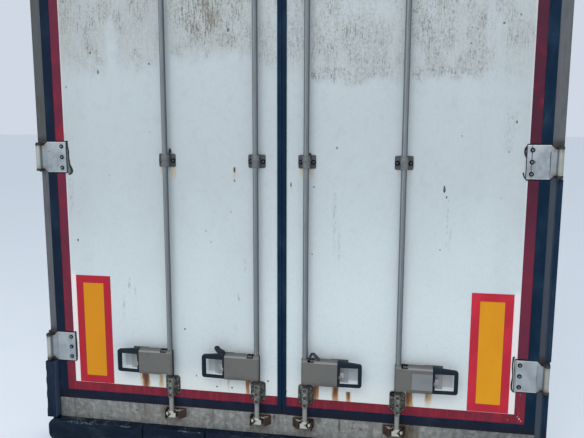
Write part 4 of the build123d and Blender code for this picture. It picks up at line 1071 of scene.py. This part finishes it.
class Workpiece:
    """One mesh shaped with Blender's own operators and finished at the origin."""

    # Distances in metres and angles in degrees.
    CAD_MERGE = 0.00002
    OWN_MERGE = 0.000005
    FLAT_ANGLE = 0.6
    SHARP_ANGLE = 40.0

    def __init__(self, name: str) -> None:
        """Names the piece to be made."""
        self.name = name
        self.object: bpy.types.Object | None = None

    def _take(self, size: Vector | None = None) -> "Workpiece":
        """Adopts the primitive just added, at its size."""
        self.object = bpy.context.active_object
        self.object.name = self.object.data.name = self.name
        if size is not None:
            self.object.scale = size
        bpy.ops.object.transform_apply(location=True, rotation=True, scale=True)
        return self

    def block(self, centre: Vector, size: Triple) -> "Workpiece":
        """Starts from a cube of that size about that place."""
        self.rest()
        bpy.ops.mesh.primitive_cube_add(size=1.0, location=centre)
        return self._take(Vector(size) * MM)

    def disc(self, radius: float, base: float, height: float, corners: int) -> "Workpiece":
        """Starts from a disc about the skin's origin that stands out from a base."""
        self.rest()
        bpy.ops.mesh.primitive_cylinder_add(vertices=corners, radius=radius * MM, depth=height * MM,
                                            location=at(0.0, base + height / 2, 0.0), rotation=(pi / 2, 0.0, 0.0))
        return self._take()

    def casting(self, node: str) -> "Workpiece":
        """Starts from a copy of a CAD node, its triangles merged and its flat faces whole again."""
        self.rest()
        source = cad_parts[node]
        self.object = bpy.data.objects.new(self.name, source.data.copy())
        self.object.data.name = self.name
        bpy.context.collection.objects.link(self.object)
        self.object.data.materials.clear()
        self.hold()
        bpy.ops.mesh.customdata_custom_splitnormals_clear()
        self.edit()
        bpy.ops.mesh.select_all(action="SELECT")
        bpy.ops.mesh.remove_doubles(threshold=self.CAD_MERGE)
        bpy.ops.mesh.dissolve_limited(angle_limit=radians(self.FLAT_ANGLE))
        return self

    @staticmethod
    def rest() -> None:
        """Leaves edit mode and deselects everything."""
        if bpy.context.mode != "OBJECT":
            bpy.ops.object.mode_set(mode="OBJECT")
        bpy.ops.object.select_all(action="DESELECT")

    def hold(self) -> None:
        """Makes this piece the only one selected."""
        self.rest()
        self.object.select_set(True)
        bpy.context.view_layer.objects.active = self.object

    def edit(self) -> None:
        """Opens this piece in edit mode."""
        if bpy.context.mode == "OBJECT":
            self.hold()
            bpy.ops.object.mode_set(mode="EDIT")

    def _choose(self, kind: str, test: Callable[[Any], bool]) -> "Workpiece":
        """Selects the faces or the edges that pass a test.

        Args:
            kind: FACE or EDGE.
            test: Takes one of them.

        Returns:
            This piece.
        """
        self.edit()
        bpy.ops.mesh.select_mode(type=kind)
        bpy.ops.mesh.select_all(action="DESELECT")
        mesh = bmesh.from_edit_mesh(self.object.data)
        for part in mesh.faces if kind == "FACE" else mesh.edges:
            if test(part):
                part.select_set(True)
        mesh.select_flush_mode()
        bmesh.update_edit_mesh(self.object.data)
        return self

    def facing(self, out: float = 0.0, z: float = 0.0) -> "Workpiece":
        """Selects the faces that look that way, or all of them if no way is given."""
        way = Vector((0.0, -out, z))
        return self._choose("FACE", lambda face: face.normal.dot(way) > way.length - 0.01)

    def edges(self, test: Callable[[Vector, Vector], bool]) -> "Workpiece":
        """Selects the edges whose middle and direction, both as (x, out, z), pass a test."""
        def passes(edge: bmesh.types.BMEdge) -> bool:
            """Tests one edge."""
            first, last = (Vector((vert.co.x / MM, SKIN_Y - vert.co.y / MM, vert.co.z / MM)) for vert in edge.verts)
            return test((first + last) / 2, (last - first).normalized())
        return self._choose("EDGE", passes)

    def bevel(self, width: float, segments: int = 2) -> "Workpiece":
        """Rounds the selected edges."""
        bpy.ops.mesh.bevel(offset=width * MM, segments=segments, affect="EDGES")
        return self

    def inset(self, width: float, depth: float = 0.0) -> "Workpiece":
        """Insets the selected faces, and sinks them by a depth."""
        bpy.ops.mesh.inset(thickness=width * MM, depth=-depth * MM)
        return self

    def extrude(self, x: float = 0.0, out: float = 0.0, z: float = 0.0) -> "Workpiece":
        """Draws the selected faces out by that much."""
        bpy.ops.mesh.extrude_region_move(TRANSFORM_OT_translate={"value": Vector((x, -out, z)) * MM})
        return self

    def shift(self, x: float = 0.0, out: float = 0.0) -> "Workpiece":
        """Moves what is selected."""
        bpy.ops.transform.translate(value=Vector((x, -out, 0.0)) * MM)
        return self

    def resize(self, factors: Triple, centre: Vector) -> "Workpiece":
        """Scales what is selected about a place."""
        bpy.ops.transform.resize(value=factors, center_override=centre)
        return self

    def divide(self, cuts: int) -> "Workpiece":
        """Divides what is selected."""
        bpy.ops.mesh.subdivide(number_cuts=cuts)
        return self

    def modifier(self, kind: str, **settings: Any) -> "Workpiece":
        """Adds a modifier with those settings and applies it."""
        self.hold()
        bpy.ops.object.modifier_add(type=kind)
        added = self.object.modifiers[-1]
        for key, value in settings.items():
            setattr(added, key, value)
        bpy.ops.object.modifier_apply(modifier=added.name)
        return self

    def rounded(self, width: float, segments: int = 2) -> "Workpiece":
        """Rounds every sharp edge."""
        return self.modifier("BEVEL", width=width * MM, segments=segments, limit_method="ANGLE",
                             angle_limit=radians(self.SHARP_ANGLE), use_clamp_overlap=True,
                             miter_outer="MITER_ARC")

    def repeat(self, places: Iterable[Matrix]) -> "Workpiece":
        """Copies the shape to each place, each copy with its own mesh, and joins the copies."""
        self.rest()
        copies = []
        for place in places:
            copied = self.object.copy()
            copied.data = self.object.data.copy()
            bpy.context.collection.objects.link(copied)
            copied.matrix_world = place
            copies.append(copied)
        bpy.data.objects.remove(self.object)
        for copied in copies:
            copied.select_set(True)
        bpy.context.view_layer.objects.active = copies[0]
        bpy.ops.object.transform_apply(location=True, rotation=True, scale=True)
        if len(copies) > 1:
            bpy.ops.object.join()
        self.object = bpy.context.active_object
        self.object.name = self.object.data.name = self.name
        return self

    def finish(self, body: str, slot: str, finish: Finish, angle: float = 35.0) -> bpy.types.Object:
        """Closes the piece and puts it on its body.

        Args:
            body: The CAD body it rides on.
            slot: The record's material slot; it is not used.
            finish: Its finish.
            angle: Faces that meet at less than this are shaded smooth.

        Returns:
            The finished object.
        """
        self.hold()
        bpy.ops.object.transform_apply(location=True, rotation=True, scale=True)
        self.edit()
        bpy.ops.mesh.select_all(action="SELECT")
        bpy.ops.mesh.remove_doubles(threshold=self.OWN_MERGE)
        bpy.ops.mesh.normals_make_consistent(inside=False)
        self.rest()
        self.hold()
        bpy.ops.object.shade_smooth_by_angle(angle=radians(angle))
        self.object.data.materials.clear()
        self.object.data.materials.append(material(finish))
        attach(self.object, body)
        LOG.info("%s: %d faces on %s", self.name, len(self.object.data.polygons), body)
        return self.object


def to_place(x: float, out: float, z: float) -> Matrix:
    """Where a copy goes that was modelled about the skin's own origin."""
    return Matrix.Translation(Vector((x, -out, z)) * MM)


def repaint(node: str, finish: Finish) -> None:
    """Gives a CAD node a finish."""
    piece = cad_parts[node]
    piece.data.materials.clear()
    piece.data.materials.append(material(finish))
    LOG.info("%s: %s", node, finish.name)


def recast(node: str, body: str, slot: str, finish: Finish, radius: float, segments: int = 2) -> None:
    """Stands a round-edged copy of a CAD node in for it.

    Args:
        node: The CAD node.
        body: The body it rides on.
        slot: Its material slot.
        finish: Its finish.
        radius: Radius of the rounded edges.
        segments: Faces across each rounded edge.
    """
    copy = Workpiece(f"{node}_rounded").casting(node).rounded(radius, segments).finish(body, slot, finish)
    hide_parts(node)


@dataclass
class Fastener:
    """A round-headed bolt on a washer, modelled about the skin's origin, its axis pointing out."""

    head_radius: float = 5.4
    head_height: float = 3.6
    washer_radius: float = 11.0
    washer_height: float = 2.2
    socket_radius: float = 2.6
    corners: int = 24

    @staticmethod
    def rounded_disc(name: str, radius: float, base: float, height: float, corners: int,
                     share: float, segments: int) -> Workpiece:
        """Makes a disc with its outer rim rounded and its outer face selected.

        Args:
            name: The piece's name.
            radius: Radius of the disc.
            base: How far out it starts.
            height: How thick it is.
            corners: Sides of its outline.
            share: Radius of the rounding, as a share of the height.
            segments: Faces across the rounding.

        Returns:
            The disc.
        """
        made = Workpiece(name).disc(radius, base, height, corners)
        made.edges(lambda middle, along: middle.y > base + height - 0.1)
        return made.bevel(height * share, segments).facing(out=1.0)

    def head(self, name: str) -> Workpiece:
        """A domed head with a round socket sunk in it."""
        share = 0.45
        made = self.rounded_disc(name, self.head_radius, self.washer_height, self.head_height, self.corners, share, 3)
        made.inset(self.head_radius - self.head_height * share - self.socket_radius)
        return made.extrude(out=-self.head_height * 0.5)

    def washer(self, name: str) -> Workpiece:
        """A washer with a rounded rim and a step where the head sits."""
        share = 0.4
        made = self.rounded_disc(name, self.washer_radius, 0.0, self.washer_height, self.corners, share, 2)
        made.inset(self.washer_radius - self.washer_height * share - self.head_radius - 0.4)
        return made.extrude(out=-self.washer_height * 0.3)

    def hexagon(self, name: str) -> Workpiece:
        """A six-sided head with a chamfered top, on its own flange."""
        made = self.rounded_disc(name, self.washer_radius, 0.0, self.washer_height, self.corners, 0.35, 1)
        made.rest()
        nut = self.rounded_disc(name + "_nut", self.head_radius, self.washer_height, self.head_height, 6, 0.22, 1)
        nut.inset(self.head_radius * 0.25, 0.4)
        nut.rest()
        made.object.select_set(True)
        nut.object.select_set(True)
        bpy.context.view_layer.objects.active = made.object
        bpy.ops.object.join()
        made.object = bpy.context.active_object
        return made

    def pair(self, names: tuple[str, str], places: list[Matrix], body: str, slot: str, finish: Finish) -> None:
        """Puts a head and a black washer at every place.

        Args:
            names: Names of the heads and of the washers.
            places: Where they go.
            body: The body they ride on.
            slot: The heads' material slot.
            finish: The heads' finish.
        """
        head, washer = names
        self.head(head).repeat(places).finish(body, slot, finish)
        self.washer(washer).repeat(places).finish(body, "rubber", BLACK_WASHER)


@dataclass(frozen=True)
class Bead:
    """A strand drawn downwards along points of (x, z, width), such as sealant or a torn strip."""

    name: str
    points: tuple[Triple, ...]
    base_out: float = 0.0
    height: float = 2.5
    finish: SmallPart = SEALANT

    def build(self) -> Workpiece:
        """Draws the bead's end out from point to point, then smooths it."""
        x, z, width = self.points[0]
        made = Workpiece(self.name).block(at(x, self.base_out + self.height / 2, z), (width, self.height, 1.0))
        made.facing(z=-1.0)
        for next_x, next_z, next_width in self.points[1:]:
            made.extrude(x=next_x - x, z=next_z - z)
            made.resize((next_width / width, 1.0, 1.0), at(next_x, self.base_out, next_z))
            x, z, width = next_x, next_z, next_width
        return made.modifier("SUBSURF", levels=2, render_levels=2)


# ---------------------------------------------------------------- sub-assemblies


@dataclass
class Stage:
    """Floor, lights, world and camera."""

    floor_size: float = 400.0
    sky: Colour = (0.94, 0.965, 1.0, 1.0)
    sky_strength: float = 0.62
    backdrop: Colour = srgb(207, 216, 228)
    lamp_power: float = 270.0
    lamp_size: Span = (7.0, 4.0)
    lamp_place: Triple = (-0.5, -6.0, 6.2)
    lamp_target: Triple = (0.0, 0.0, 1.1)
    lens: float = 37.356
    camera_place: Triple = (0.5485, -2.978, 1.711)
    camera_turns: Triple = (9.67, 81.71, 0.16)

    def build(self) -> None:
        """Clears the default scene, then sets the stage."""
        for name in ("Cube", "Light", "Camera"):
            if name in bpy.data.objects:
                bpy.data.objects.remove(bpy.data.objects[name])
        self.floor()
        self.light()
        self.camera()
        bpy.context.scene.view_settings.view_transform = "Standard"

    def floor(self) -> None:
        """Lays the floor at the foot of the sill."""
        Workpiece.rest()
        bpy.ops.mesh.primitive_plane_add(size=self.floor_size, location=(0.0, 0.0, 0.0))
        floor = bpy.context.active_object
        floor.name = "floor"
        floor.data.materials.append(material(PaleFloor()))

    def light(self) -> None:
        """An even pale sky, which the camera sees brighter, and one soft lamp above and in front."""
        world = bpy.data.worlds.new("pale_sky")
        sky = NodeTree(world)
        ray = sky.node("ShaderNodeLightPath")
        seen = sky.node("ShaderNodeMath", {"operation": "MAXIMUM"},
                        {0: ray.outputs["Is Camera Ray"], 1: ray.outputs["Is Transmission Ray"]})
        lit = sky.node("ShaderNodeBackground", {}, {"Color": self.sky, "Strength": self.sky_strength})
        shown = sky.node("ShaderNodeBackground", {}, {"Color": self.backdrop})
        mixed = sky.node("ShaderNodeMixShader", {}, {0: seen.outputs[0], 1: lit.outputs[0], 2: shown.outputs[0]})
        sky.node("ShaderNodeOutputWorld", {}, {"Surface": mixed.outputs[0]})
        bpy.context.scene.world = world
        lamp = bpy.data.lights.new("soft_front", "AREA")
        lamp.shape = "RECTANGLE"
        lamp.size, lamp.size_y = self.lamp_size
        lamp.energy = self.lamp_power
        holder = bpy.data.objects.new("soft_front", lamp)
        aim = Vector(self.lamp_target) - Vector(self.lamp_place)
        holder.matrix_world = Matrix.Translation(self.lamp_place) @ aim.to_track_quat("-Z", "Y").to_matrix().to_4x4()
        bpy.context.scene.collection.objects.link(holder)

    def camera(self) -> None:
        """Puts the camera where the photograph was taken from."""
        pan, tilt, roll = (radians(turn) for turn in self.camera_turns)
        lens = bpy.data.cameras.new("photo_view")
        lens.lens, lens.sensor_width = self.lens, 36.0
        holder = bpy.data.objects.new("photo_view", lens)
        holder.matrix_world = (Matrix.Translation(self.camera_place) @ Matrix.Rotation(pan, 4, "Z")
                               @ Matrix.Rotation(tilt, 4, "X") @ Matrix.Rotation(roll, 4, "Z"))
        bpy.context.scene.collection.objects.link(holder)
        bpy.context.scene.camera = holder
        LOG.info("stage: camera at %s", self.camera_place)


@dataclass
class Portal:
    """The fixed frame: sill, header, posts, corner rubber, buffers and keepers."""

    body: str = "frame"
    keeper_bolt_inset: float = 52.0
    keeper_bolt_z: float = 216.0
    base_out: float = 6.0
    nose_inset: float = 22.0
    nose_out: float = 39.5
    nose_size: Triple = (6.6, 5.0, 11.0)
    nose_inset_height: Span = (1.6, 1.0)
    nose_radius: float = 0.8
    keeper_radius: float = 1.4
    sill: StainedZinc = StainedZinc(
        "sill_zinc", runs=(
            Run(-585, 250, 120, 60, 0.5), Run(-640, 250, 150, 22, 0.45), Run(-745, 250, 130, 26, 0.4),
            Run(-120, 250, 110, 60, 0.5), Run(120, 250, 110, 62, 0.55), Run(-20, 250, 100, 14, 0.4),
            Run(588, 250, 110, 70, 0.75), Run(680, 250, 120, 24, 0.6), Run(640, 250, 110, 30, 0.6),
            Run(300, 250, 150, 9, 0.5), Run(460, 250, 140, 16, 0.35), Run(-380, 250, 140, 20, 0.3)),
        flecks=(Fleck(298, 215, 4, 26, 0.8), Fleck(-400, 215, 12, 8, 0.5), Fleck(-160, 190, 3, 22, 0.5),
                Fleck(-800, 208, 8, 7, 0.6), Fleck(372, 205, 16, 5, 0.55), Fleck(410, 205, 9, 8, 0.55),
                Fleck(-40, 235, 5, 12, 0.7), Fleck(-512, 222, 14, 34, 0.5), Fleck(-40, 225, 12, 30, 0.4),
                Fleck(192, 236, 14, 24, 0.5), Fleck(660, 232, 16, 30, 0.5), Fleck(300, 190, 3, 10, 0.6)))
    posts: tuple[PostSteel, PostSteel] = (
        PostSteel("post_left_steel", srgb(82, 86, 89), srgb(94, 98, 105), 1247.0, 463.0),
        PostSteel("post_right_steel", srgb(95, 99, 104), srgb(61, 71, 84), 1273.0, 1490.0))
    header: StainedZinc = StainedZinc("header_zinc", light=srgb(158, 160, 156), mark=srgb(72, 70, 66))

    def build(self) -> None:
        """Dresses the frame's nodes and bolts the keepers down."""
        repaint("sill", self.sill)
        repaint("header", self.header)
        for side, post in zip(Side, self.posts):
            repaint(f"post_{side.word}", post)
            repaint(f"corner_strips_{side.word}", Rubber("strip_rubber", srgb(17, 42, 66), srgb(38, 58, 78)))
        repaint("buffer_blocks", BufferRubber())
        for node in ("keepers_low", "keepers_top"):
            recast(node, self.body, "cast_lock", RustyCasting(), self.keeper_radius)
        self.keeper_bolts()
        self.noses()

    def keeper_bolts(self) -> None:
        """One bolt on the inner end of each keeper's base."""
        bolt = Fastener(head_radius=7.5, head_height=5.0, washer_radius=8.8, washer_height=1.2)
        places = [to_place(side.value * (rod - self.keeper_bolt_inset), self.base_out, level)
                  for side in Side for rod in RODS for level in both(self.keeper_bolt_z)]
        bolt.hexagon("keeper_bolts").repeat(places).finish(self.body, "cast_lock", RUSTY_BOLT)

    def noses(self) -> None:
        """The bright nose of each keeper's wedge, which stands in the cam's groove."""
        wide, thick, tall = self.nose_size
        nose = Workpiece("keeper_noses").disc(1.0, self.nose_out, thick, 4)
        nose.facing().resize((wide, 1.0, tall), at(0.0, self.nose_out, 0.0))
        inset, height = self.nose_inset_height
        nose.facing(out=1.0).inset(inset).shift(out=height)
        nose.edges(lambda middle, along: abs(along.y) > 0.9).bevel(self.nose_radius)
        places = [to_place(side.value * (rod + self.nose_inset), 0.0, level)
                  for side in Side for rod in RODS for level in both(CAM_Z)]
        nose.repeat(places).finish(self.body, "cast_lock", NOSE_STEEL)


@dataclass
class CornerGuard:
    """Thick rubber below the left low hinge, standing proud of the post and leaning out at its foot."""

    x: Span = (-1303.5, -1247.5)
    z: Span = (150.0, 466.0)
    back: float = -8.0
    foot_out: float = 49.0
    top_share: float = 0.82
    notches: tuple[float, ...] = (226.0, 318.0, 402.0)
    notch_reach: float = 14.0
    notch_depth: float = 1.6
    steps: int = 15
    radius: float = 3.0

    def build(self) -> None:
        """Shapes the guard from a block, narrower at its top, with worn notches down its outer edge."""
        (low_x, high_x), (foot, top) = self.x, self.z
        depth = self.foot_out - self.back
        guard = Workpiece("corner_guard_left")
        guard.block(at((low_x + high_x) / 2, self.back + depth / 2, (foot + top) / 2),
                    (high_x - low_x, depth, top - foot))
        guard.facing(z=1.0).resize((1.0, self.top_share, 1.0), at(0.0, self.back, top))
        guard.edges(lambda middle, along: abs(along.z) > 0.9).divide(self.steps)
        for level in self.notches:
            guard.edges(lambda middle, along: middle.x < low_x + 1.0 and abs(along.z) > 0.5
                        and middle.y > self.back + 5.0 and abs(middle.z - level) < self.notch_reach)
            guard.shift(x=self.notch_depth, out=-self.notch_depth)
        guard.rounded(self.radius).finish("frame", "rubber", GuardRubber())


@dataclass
class DoorDressing:
    """One door's leaf, seals, tape, marker plate and small screws."""

    side: Side
    screws: tuple[tuple[float, float], ...] = ()
    scuff_width: float = 1150.0
    scuff_foot: float = 283.0
    scuff_height: float = 240.0
    scuff_thickness: float = 1.8
    scuff_rim: float = 6.0
    rib_height: float = 1.2
    rib_margin: float = 20.0
    inner_out: float = -85.0
    leaf_x: Span = (12.0, 1228.0)

    def build(self) -> None:
        """Dresses the door's nodes, then adds screws outside and a scuff plate inside."""
        word, body = self.side.word, self.side.door
        repaint(f"door_leaf_{word}", DoorSkin(f"door_skin_{word}", self.side))
        repaint(f"tape_{word}", Tape())
        repaint(f"marker_plate_{word}", MarkerSheet())
        repaint(f"edge_seal_{word}", Rubber())
        repaint(f"centre_seal_{word}", Rubber())
        if self.screws:
            screw = Fastener(head_radius=4.2, head_height=1.8, washer_height=0.6, socket_radius=1.4, corners=16)
            places = [to_place(x, -screw.washer_height, z) for x, z in self.screws]
            screw.head(f"skin_screws_{word}").repeat(places).finish(body, "zinc_steel", DARK_BOLT)
        self.scuff_plate()

    def scuff_plate(self) -> None:
        """A ribbed alloy plate along the foot of the inner face."""
        thick, foot, height = self.scuff_thickness, self.scuff_foot, self.scuff_height
        centre = at(self.side.value * sum(self.leaf_x) / 2, self.inner_out - thick / 2, foot + height / 2)
        plate = Workpiece(f"scuff_plate_{self.side.word}").block(centre, (self.scuff_width, thick, height))
        plate.facing(out=-1.0).divide(5)
        plate.facing(out=-1.0).inset(self.scuff_rim)
        plate.edges(lambda middle, along: middle.y < self.inner_out - thick + 0.1 and abs(along.x) > 0.9
                    and foot + self.rib_margin < middle.z < foot + height - self.rib_margin)
        plate.shift(out=-self.rib_height)
        plate.finish(self.side.door, "stainless", SCUFF_ALLOY)


@dataclass
class HingeSet:
    """One side's three hinges: straps, brackets, bolts and the sealant round the straps."""

    side: Side
    strap_out: float = 9.0
    bolt_x: float = 1161.0
    bolt_pitch: float = 55.0
    gasket_x: float = 1136.5
    gasket: Triple = (80.0, 166.0, 2.4)
    gasket_radius: float = 6.0
    gasket_crown: Span = (1.0, 0.5)
    strap_radius: float = 0.8
    beads: tuple[Bead, ...] = ()

    def build(self) -> None:
        """Rounds the straps' edges and adds bolts and sealant."""
        word, body = self.side.word, self.side.door
        recast(f"hinge_straps_{word}", body, "stainless", Stainless(), self.strap_radius)
        repaint(f"hinge_brackets_{word}", BRACKET_STEEL)
        places = [to_place(self.side.value * self.bolt_x, self.strap_out, level + step * self.bolt_pitch)
                  for level in HINGE_HEIGHTS for step in (-1, 0, 1)]
        Fastener().pair((f"hinge_bolts_{word}", f"hinge_washers_{word}"), places, body, "stainless", BOLT_STEEL)
        for bead in self.beads:
            bead.build().finish(body, "rubber", bead.finish, STRAND_ANGLE)
        self.gaskets()

    def gaskets(self) -> None:
        """A thin black pad under each strap's plate, its rim showing as a dark line that stands in for the strap's
        shadow.
        """
        across, tall, thick = self.gasket
        centre = self.side.value * (self.gasket_x + across / 2)
        pad = Workpiece(f"hinge_gaskets_{self.side.word}").block(at(centre, thick / 2, 0.0), (across, thick, tall))
        pad.edges(lambda middle, along: abs(along.y) > 0.9).bevel(self.gasket_radius, 3)
        inset, height = self.gasket_crown
        pad.facing(out=1.0).inset(inset).shift(out=height)
        places = [to_place(0.0, 0.0, level) for level in HINGE_HEIGHTS]
        pad.repeat(places).finish(self.side.door, "rubber", BLACK_WASHER)


@dataclass
class LockGear:
    """One door's two lock rods with their handles, guides, bearings and retainers."""

    side: Side
    guide_z: float = 1560.0
    guide_bolt_x: float = 31.5
    guide_out: float = 4.0
    bearing_bolt_x: float = 28.0
    bearing_bolt_z: float = 331.0
    bearing_out: float = 5.0
    bearing_bores: tuple[float, ...] = (332.5, 370.5, 408.5)
    handle_radius: float = 2.2
    bearing_radius: float = 1.6
    guide_radius: float = 1.4
    retainer_radius: float = 0.8

    def build(self) -> None:
        """Recasts the gear with rounded edges, dresses it and bolts it on."""
        word, body = self.side.word, self.side.door
        for place in ("inner", "outer"):
            carried = f"rod_{place}_{word}"
            repaint(f"lock_rod_{place}_{word}", RodTube())
            recast(f"handle_{place}_{word}", carried, "cast_handle", CastHandle(), self.handle_radius, 3)
            repaint(f"grip_{place}_{word}", BlackPlastic())
        bearing = WeatheredZinc("bearing_zinc", srgb(118, 121, 117), srgb(58, 57, 56), srgb(32, 32, 32), rim=35.0,
                                speckle=0.6, bores=self.bearing_bores, ring=(self.bearing_bolt_x, self.bearing_bolt_z))
        guide = WeatheredZinc("guide_zinc", srgb(122, 128, 130), srgb(72, 76, 80), srgb(38, 40, 44),
                              bright_out=50.0, rim=40.5)
        retainer = WeatheredZinc("retainer_zinc", srgb(192, 198, 202), srgb(168, 174, 178), srgb(138, 138, 136),
                                 browned=0.15, bright_out=14.0, rim_top=558.0)
        for piece, finish, radius in (
                ("low_bearings", bearing, self.bearing_radius), ("top_bearings", bearing, self.bearing_radius),
                ("rod_guides", guide, self.guide_radius), ("handle_retainers", retainer, self.retainer_radius)):
            recast(f"{piece}_{word}", body, "zinc_steel", finish, radius)
        self.bolts()

    def bolts(self) -> None:
        """Dark round bolts on the guides and plated ones low on the bearings' plates."""
        word, body, sign = self.side.word, self.side.door, self.side.value
        guide = Fastener(head_radius=5.6, head_height=5.5, washer_radius=11.6, washer_height=3.2, socket_radius=2.0)
        places = [to_place(sign * rod + step * self.guide_bolt_x, self.guide_out, self.guide_z)
                  for rod in RODS for step in (-1, 1)]
        guide.pair((f"guide_bolts_{word}", f"guide_washers_{word}"), places, body, "zinc_steel", GUIDE_BOLT)
        plated = Fastener(head_radius=4.8, head_height=4.2, washer_radius=6.0, washer_height=1.2)
        places = [to_place(sign * rod + step * self.bearing_bolt_x, self.bearing_out, level)
                  for rod in RODS for step in (-1, 1) for level in both(self.bearing_bolt_z)]
        plated.hexagon(f"bearing_bolts_{word}").repeat(places).finish(body, "zinc_steel", PLATED_BOLT)


@dataclass
class Breakage:
    """What is worn, bent or torn on the door gear."""

    stub: Bead = Bead("torn_stub", ((-327.0, 618.0, 22.0), (-327.0, 611.0, 34.0), (-323.0, 604.0, 40.0),
                                    (-313.0, 599.0, 58.0), (-309.0, 592.0, 54.0), (-306.0, 584.0, 44.0),
                                    (-304.0, 574.0, 34.0)), 44.0, 22.0)
    catch: tuple[Bead, Bead] = (
        Bead("bent_catch_left", ((164.0, 614.0, 14.0), (158.0, 604.0, 17.0), (150.0, 588.0, 14.0),
                                 (144.0, 574.0, 18.0)), 44.0, 15.0),
        Bead("bent_catch_right", ((170.0, 614.0, 14.0), (178.0, 602.0, 22.0), (187.0, 592.0, 28.0),
                                  (192.0, 584.0, 28.0), (188.0, 575.0, 16.0)), 44.0, 15.0))
    odd_bolt: Triple = (564.0, 5.0, 410.0)
    lug_places: tuple[tuple[Side, float, float], ...] = ((Side.RIGHT, 141.0, 1594.0), (Side.LEFT, -571.0, 1610.0))
    lug_size: Triple = (13.0, 16.0, 22.0)
    lug_taper: Triple = (0.6, 0.6, 1.0)
    lug_lean: Span = (-3.0, 6.0)
    lug_radius: float = 2.0

    def build(self) -> None:
        """Adds the torn stub, the bent catch, the odd bolt and the guides' lugs."""
        self.stub.build().finish("rod_inner_left", "black_plastic", TORN_RUBBER, STRAND_ANGLE)
        for leg in self.catch:
            leg.build().finish("rod_inner_right", "cast_handle", BENT_STEEL, STRAND_ANGLE)
        bolt = Fastener(head_radius=6.0, washer_radius=12.0, washer_height=3.0)
        bolt.pair(("odd_bolt", "odd_bolt_washer"), [to_place(*self.odd_bolt)], "door_right", "zinc_steel", DARK_BOLT)
        for side, x, z in self.lug_places:
            lug = Workpiece(f"guide_lug_{side.word}").block(at(x, self.lug_size[1] / 2, z), self.lug_size)
            lean_x, lean_out = self.lug_lean
            lug.facing(z=1.0).resize(self.lug_taper, at(x + lean_x, lean_out, z))
            lug.rounded(self.lug_radius).finish(side.door, "zinc_steel", LUG_STEEL)


def main() -> None:
    """Builds the sub-assemblies in order."""
    logging.basicConfig(level=logging.INFO, format="%(name)s %(message)s")
    Stage().build()
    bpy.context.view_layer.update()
    Portal().build()
    CornerGuard().build()
    DoorDressing(Side.LEFT, screws=((-348.0, 376.0), (-266.0, 376.0), (-73.0, 427.0))).build()
    DoorDressing(Side.RIGHT).build()
    HingeSet(Side.LEFT, beads=(
        Bead("sealant_left_mid", ((-1134, 1656, 12), (-1133, 1640, 8), (-1130, 1616, 7), (-1127, 1598, 10),
                                  (-1129, 1580, 7), (-1127, 1556, 10), (-1125, 1534, 8), (-1114, 1512, 18),
                                  (-1112, 1496, 14), (-1122, 1486, 22), (-1130, 1480, 10))),
        Bead("sealant_left_fill", ((-1137, 1644, 8), (-1135, 1616, 10), (-1133, 1600, 14), (-1134, 1580, 12),
                                   (-1133, 1556, 16), (-1131, 1534, 20), (-1124, 1512, 32), (-1123, 1496, 30),
                                   (-1130, 1485, 14)), 0.0, 2.0, GREY_SEALANT),
        Bead("sealant_left_low", ((-1137, 632, 7), (-1135, 600, 6), (-1134, 550, 7), (-1134, 500, 6),
                                  (-1136, 466, 6))),
    )).build()
    HingeSet(Side.RIGHT, beads=(
        Bead("sealant_right_mid_top", ((1142, 1650, 6), (1133, 1640, 9), (1129, 1622, 11), (1132, 1604, 10),
                                       (1138, 1590, 4))),
        Bead("sealant_right_mid_foot", ((1127, 1524, 6), (1129, 1508, 7), (1138, 1494, 7), (1148, 1484, 4))),
        Bead("sealant_right_low", ((1133, 640, 12), (1130, 624, 8), (1128, 600, 8), (1131, 565, 7), (1132, 545, 5),
                                   (1130, 520, 8), (1128, 490, 10), (1130, 472, 8), (1138, 462, 6), (1148, 460, 4))),
    )).build()
    for side in Side:
        LockGear(side).build()
    Breakage().build()


if __name__ == "__main__":
    main()
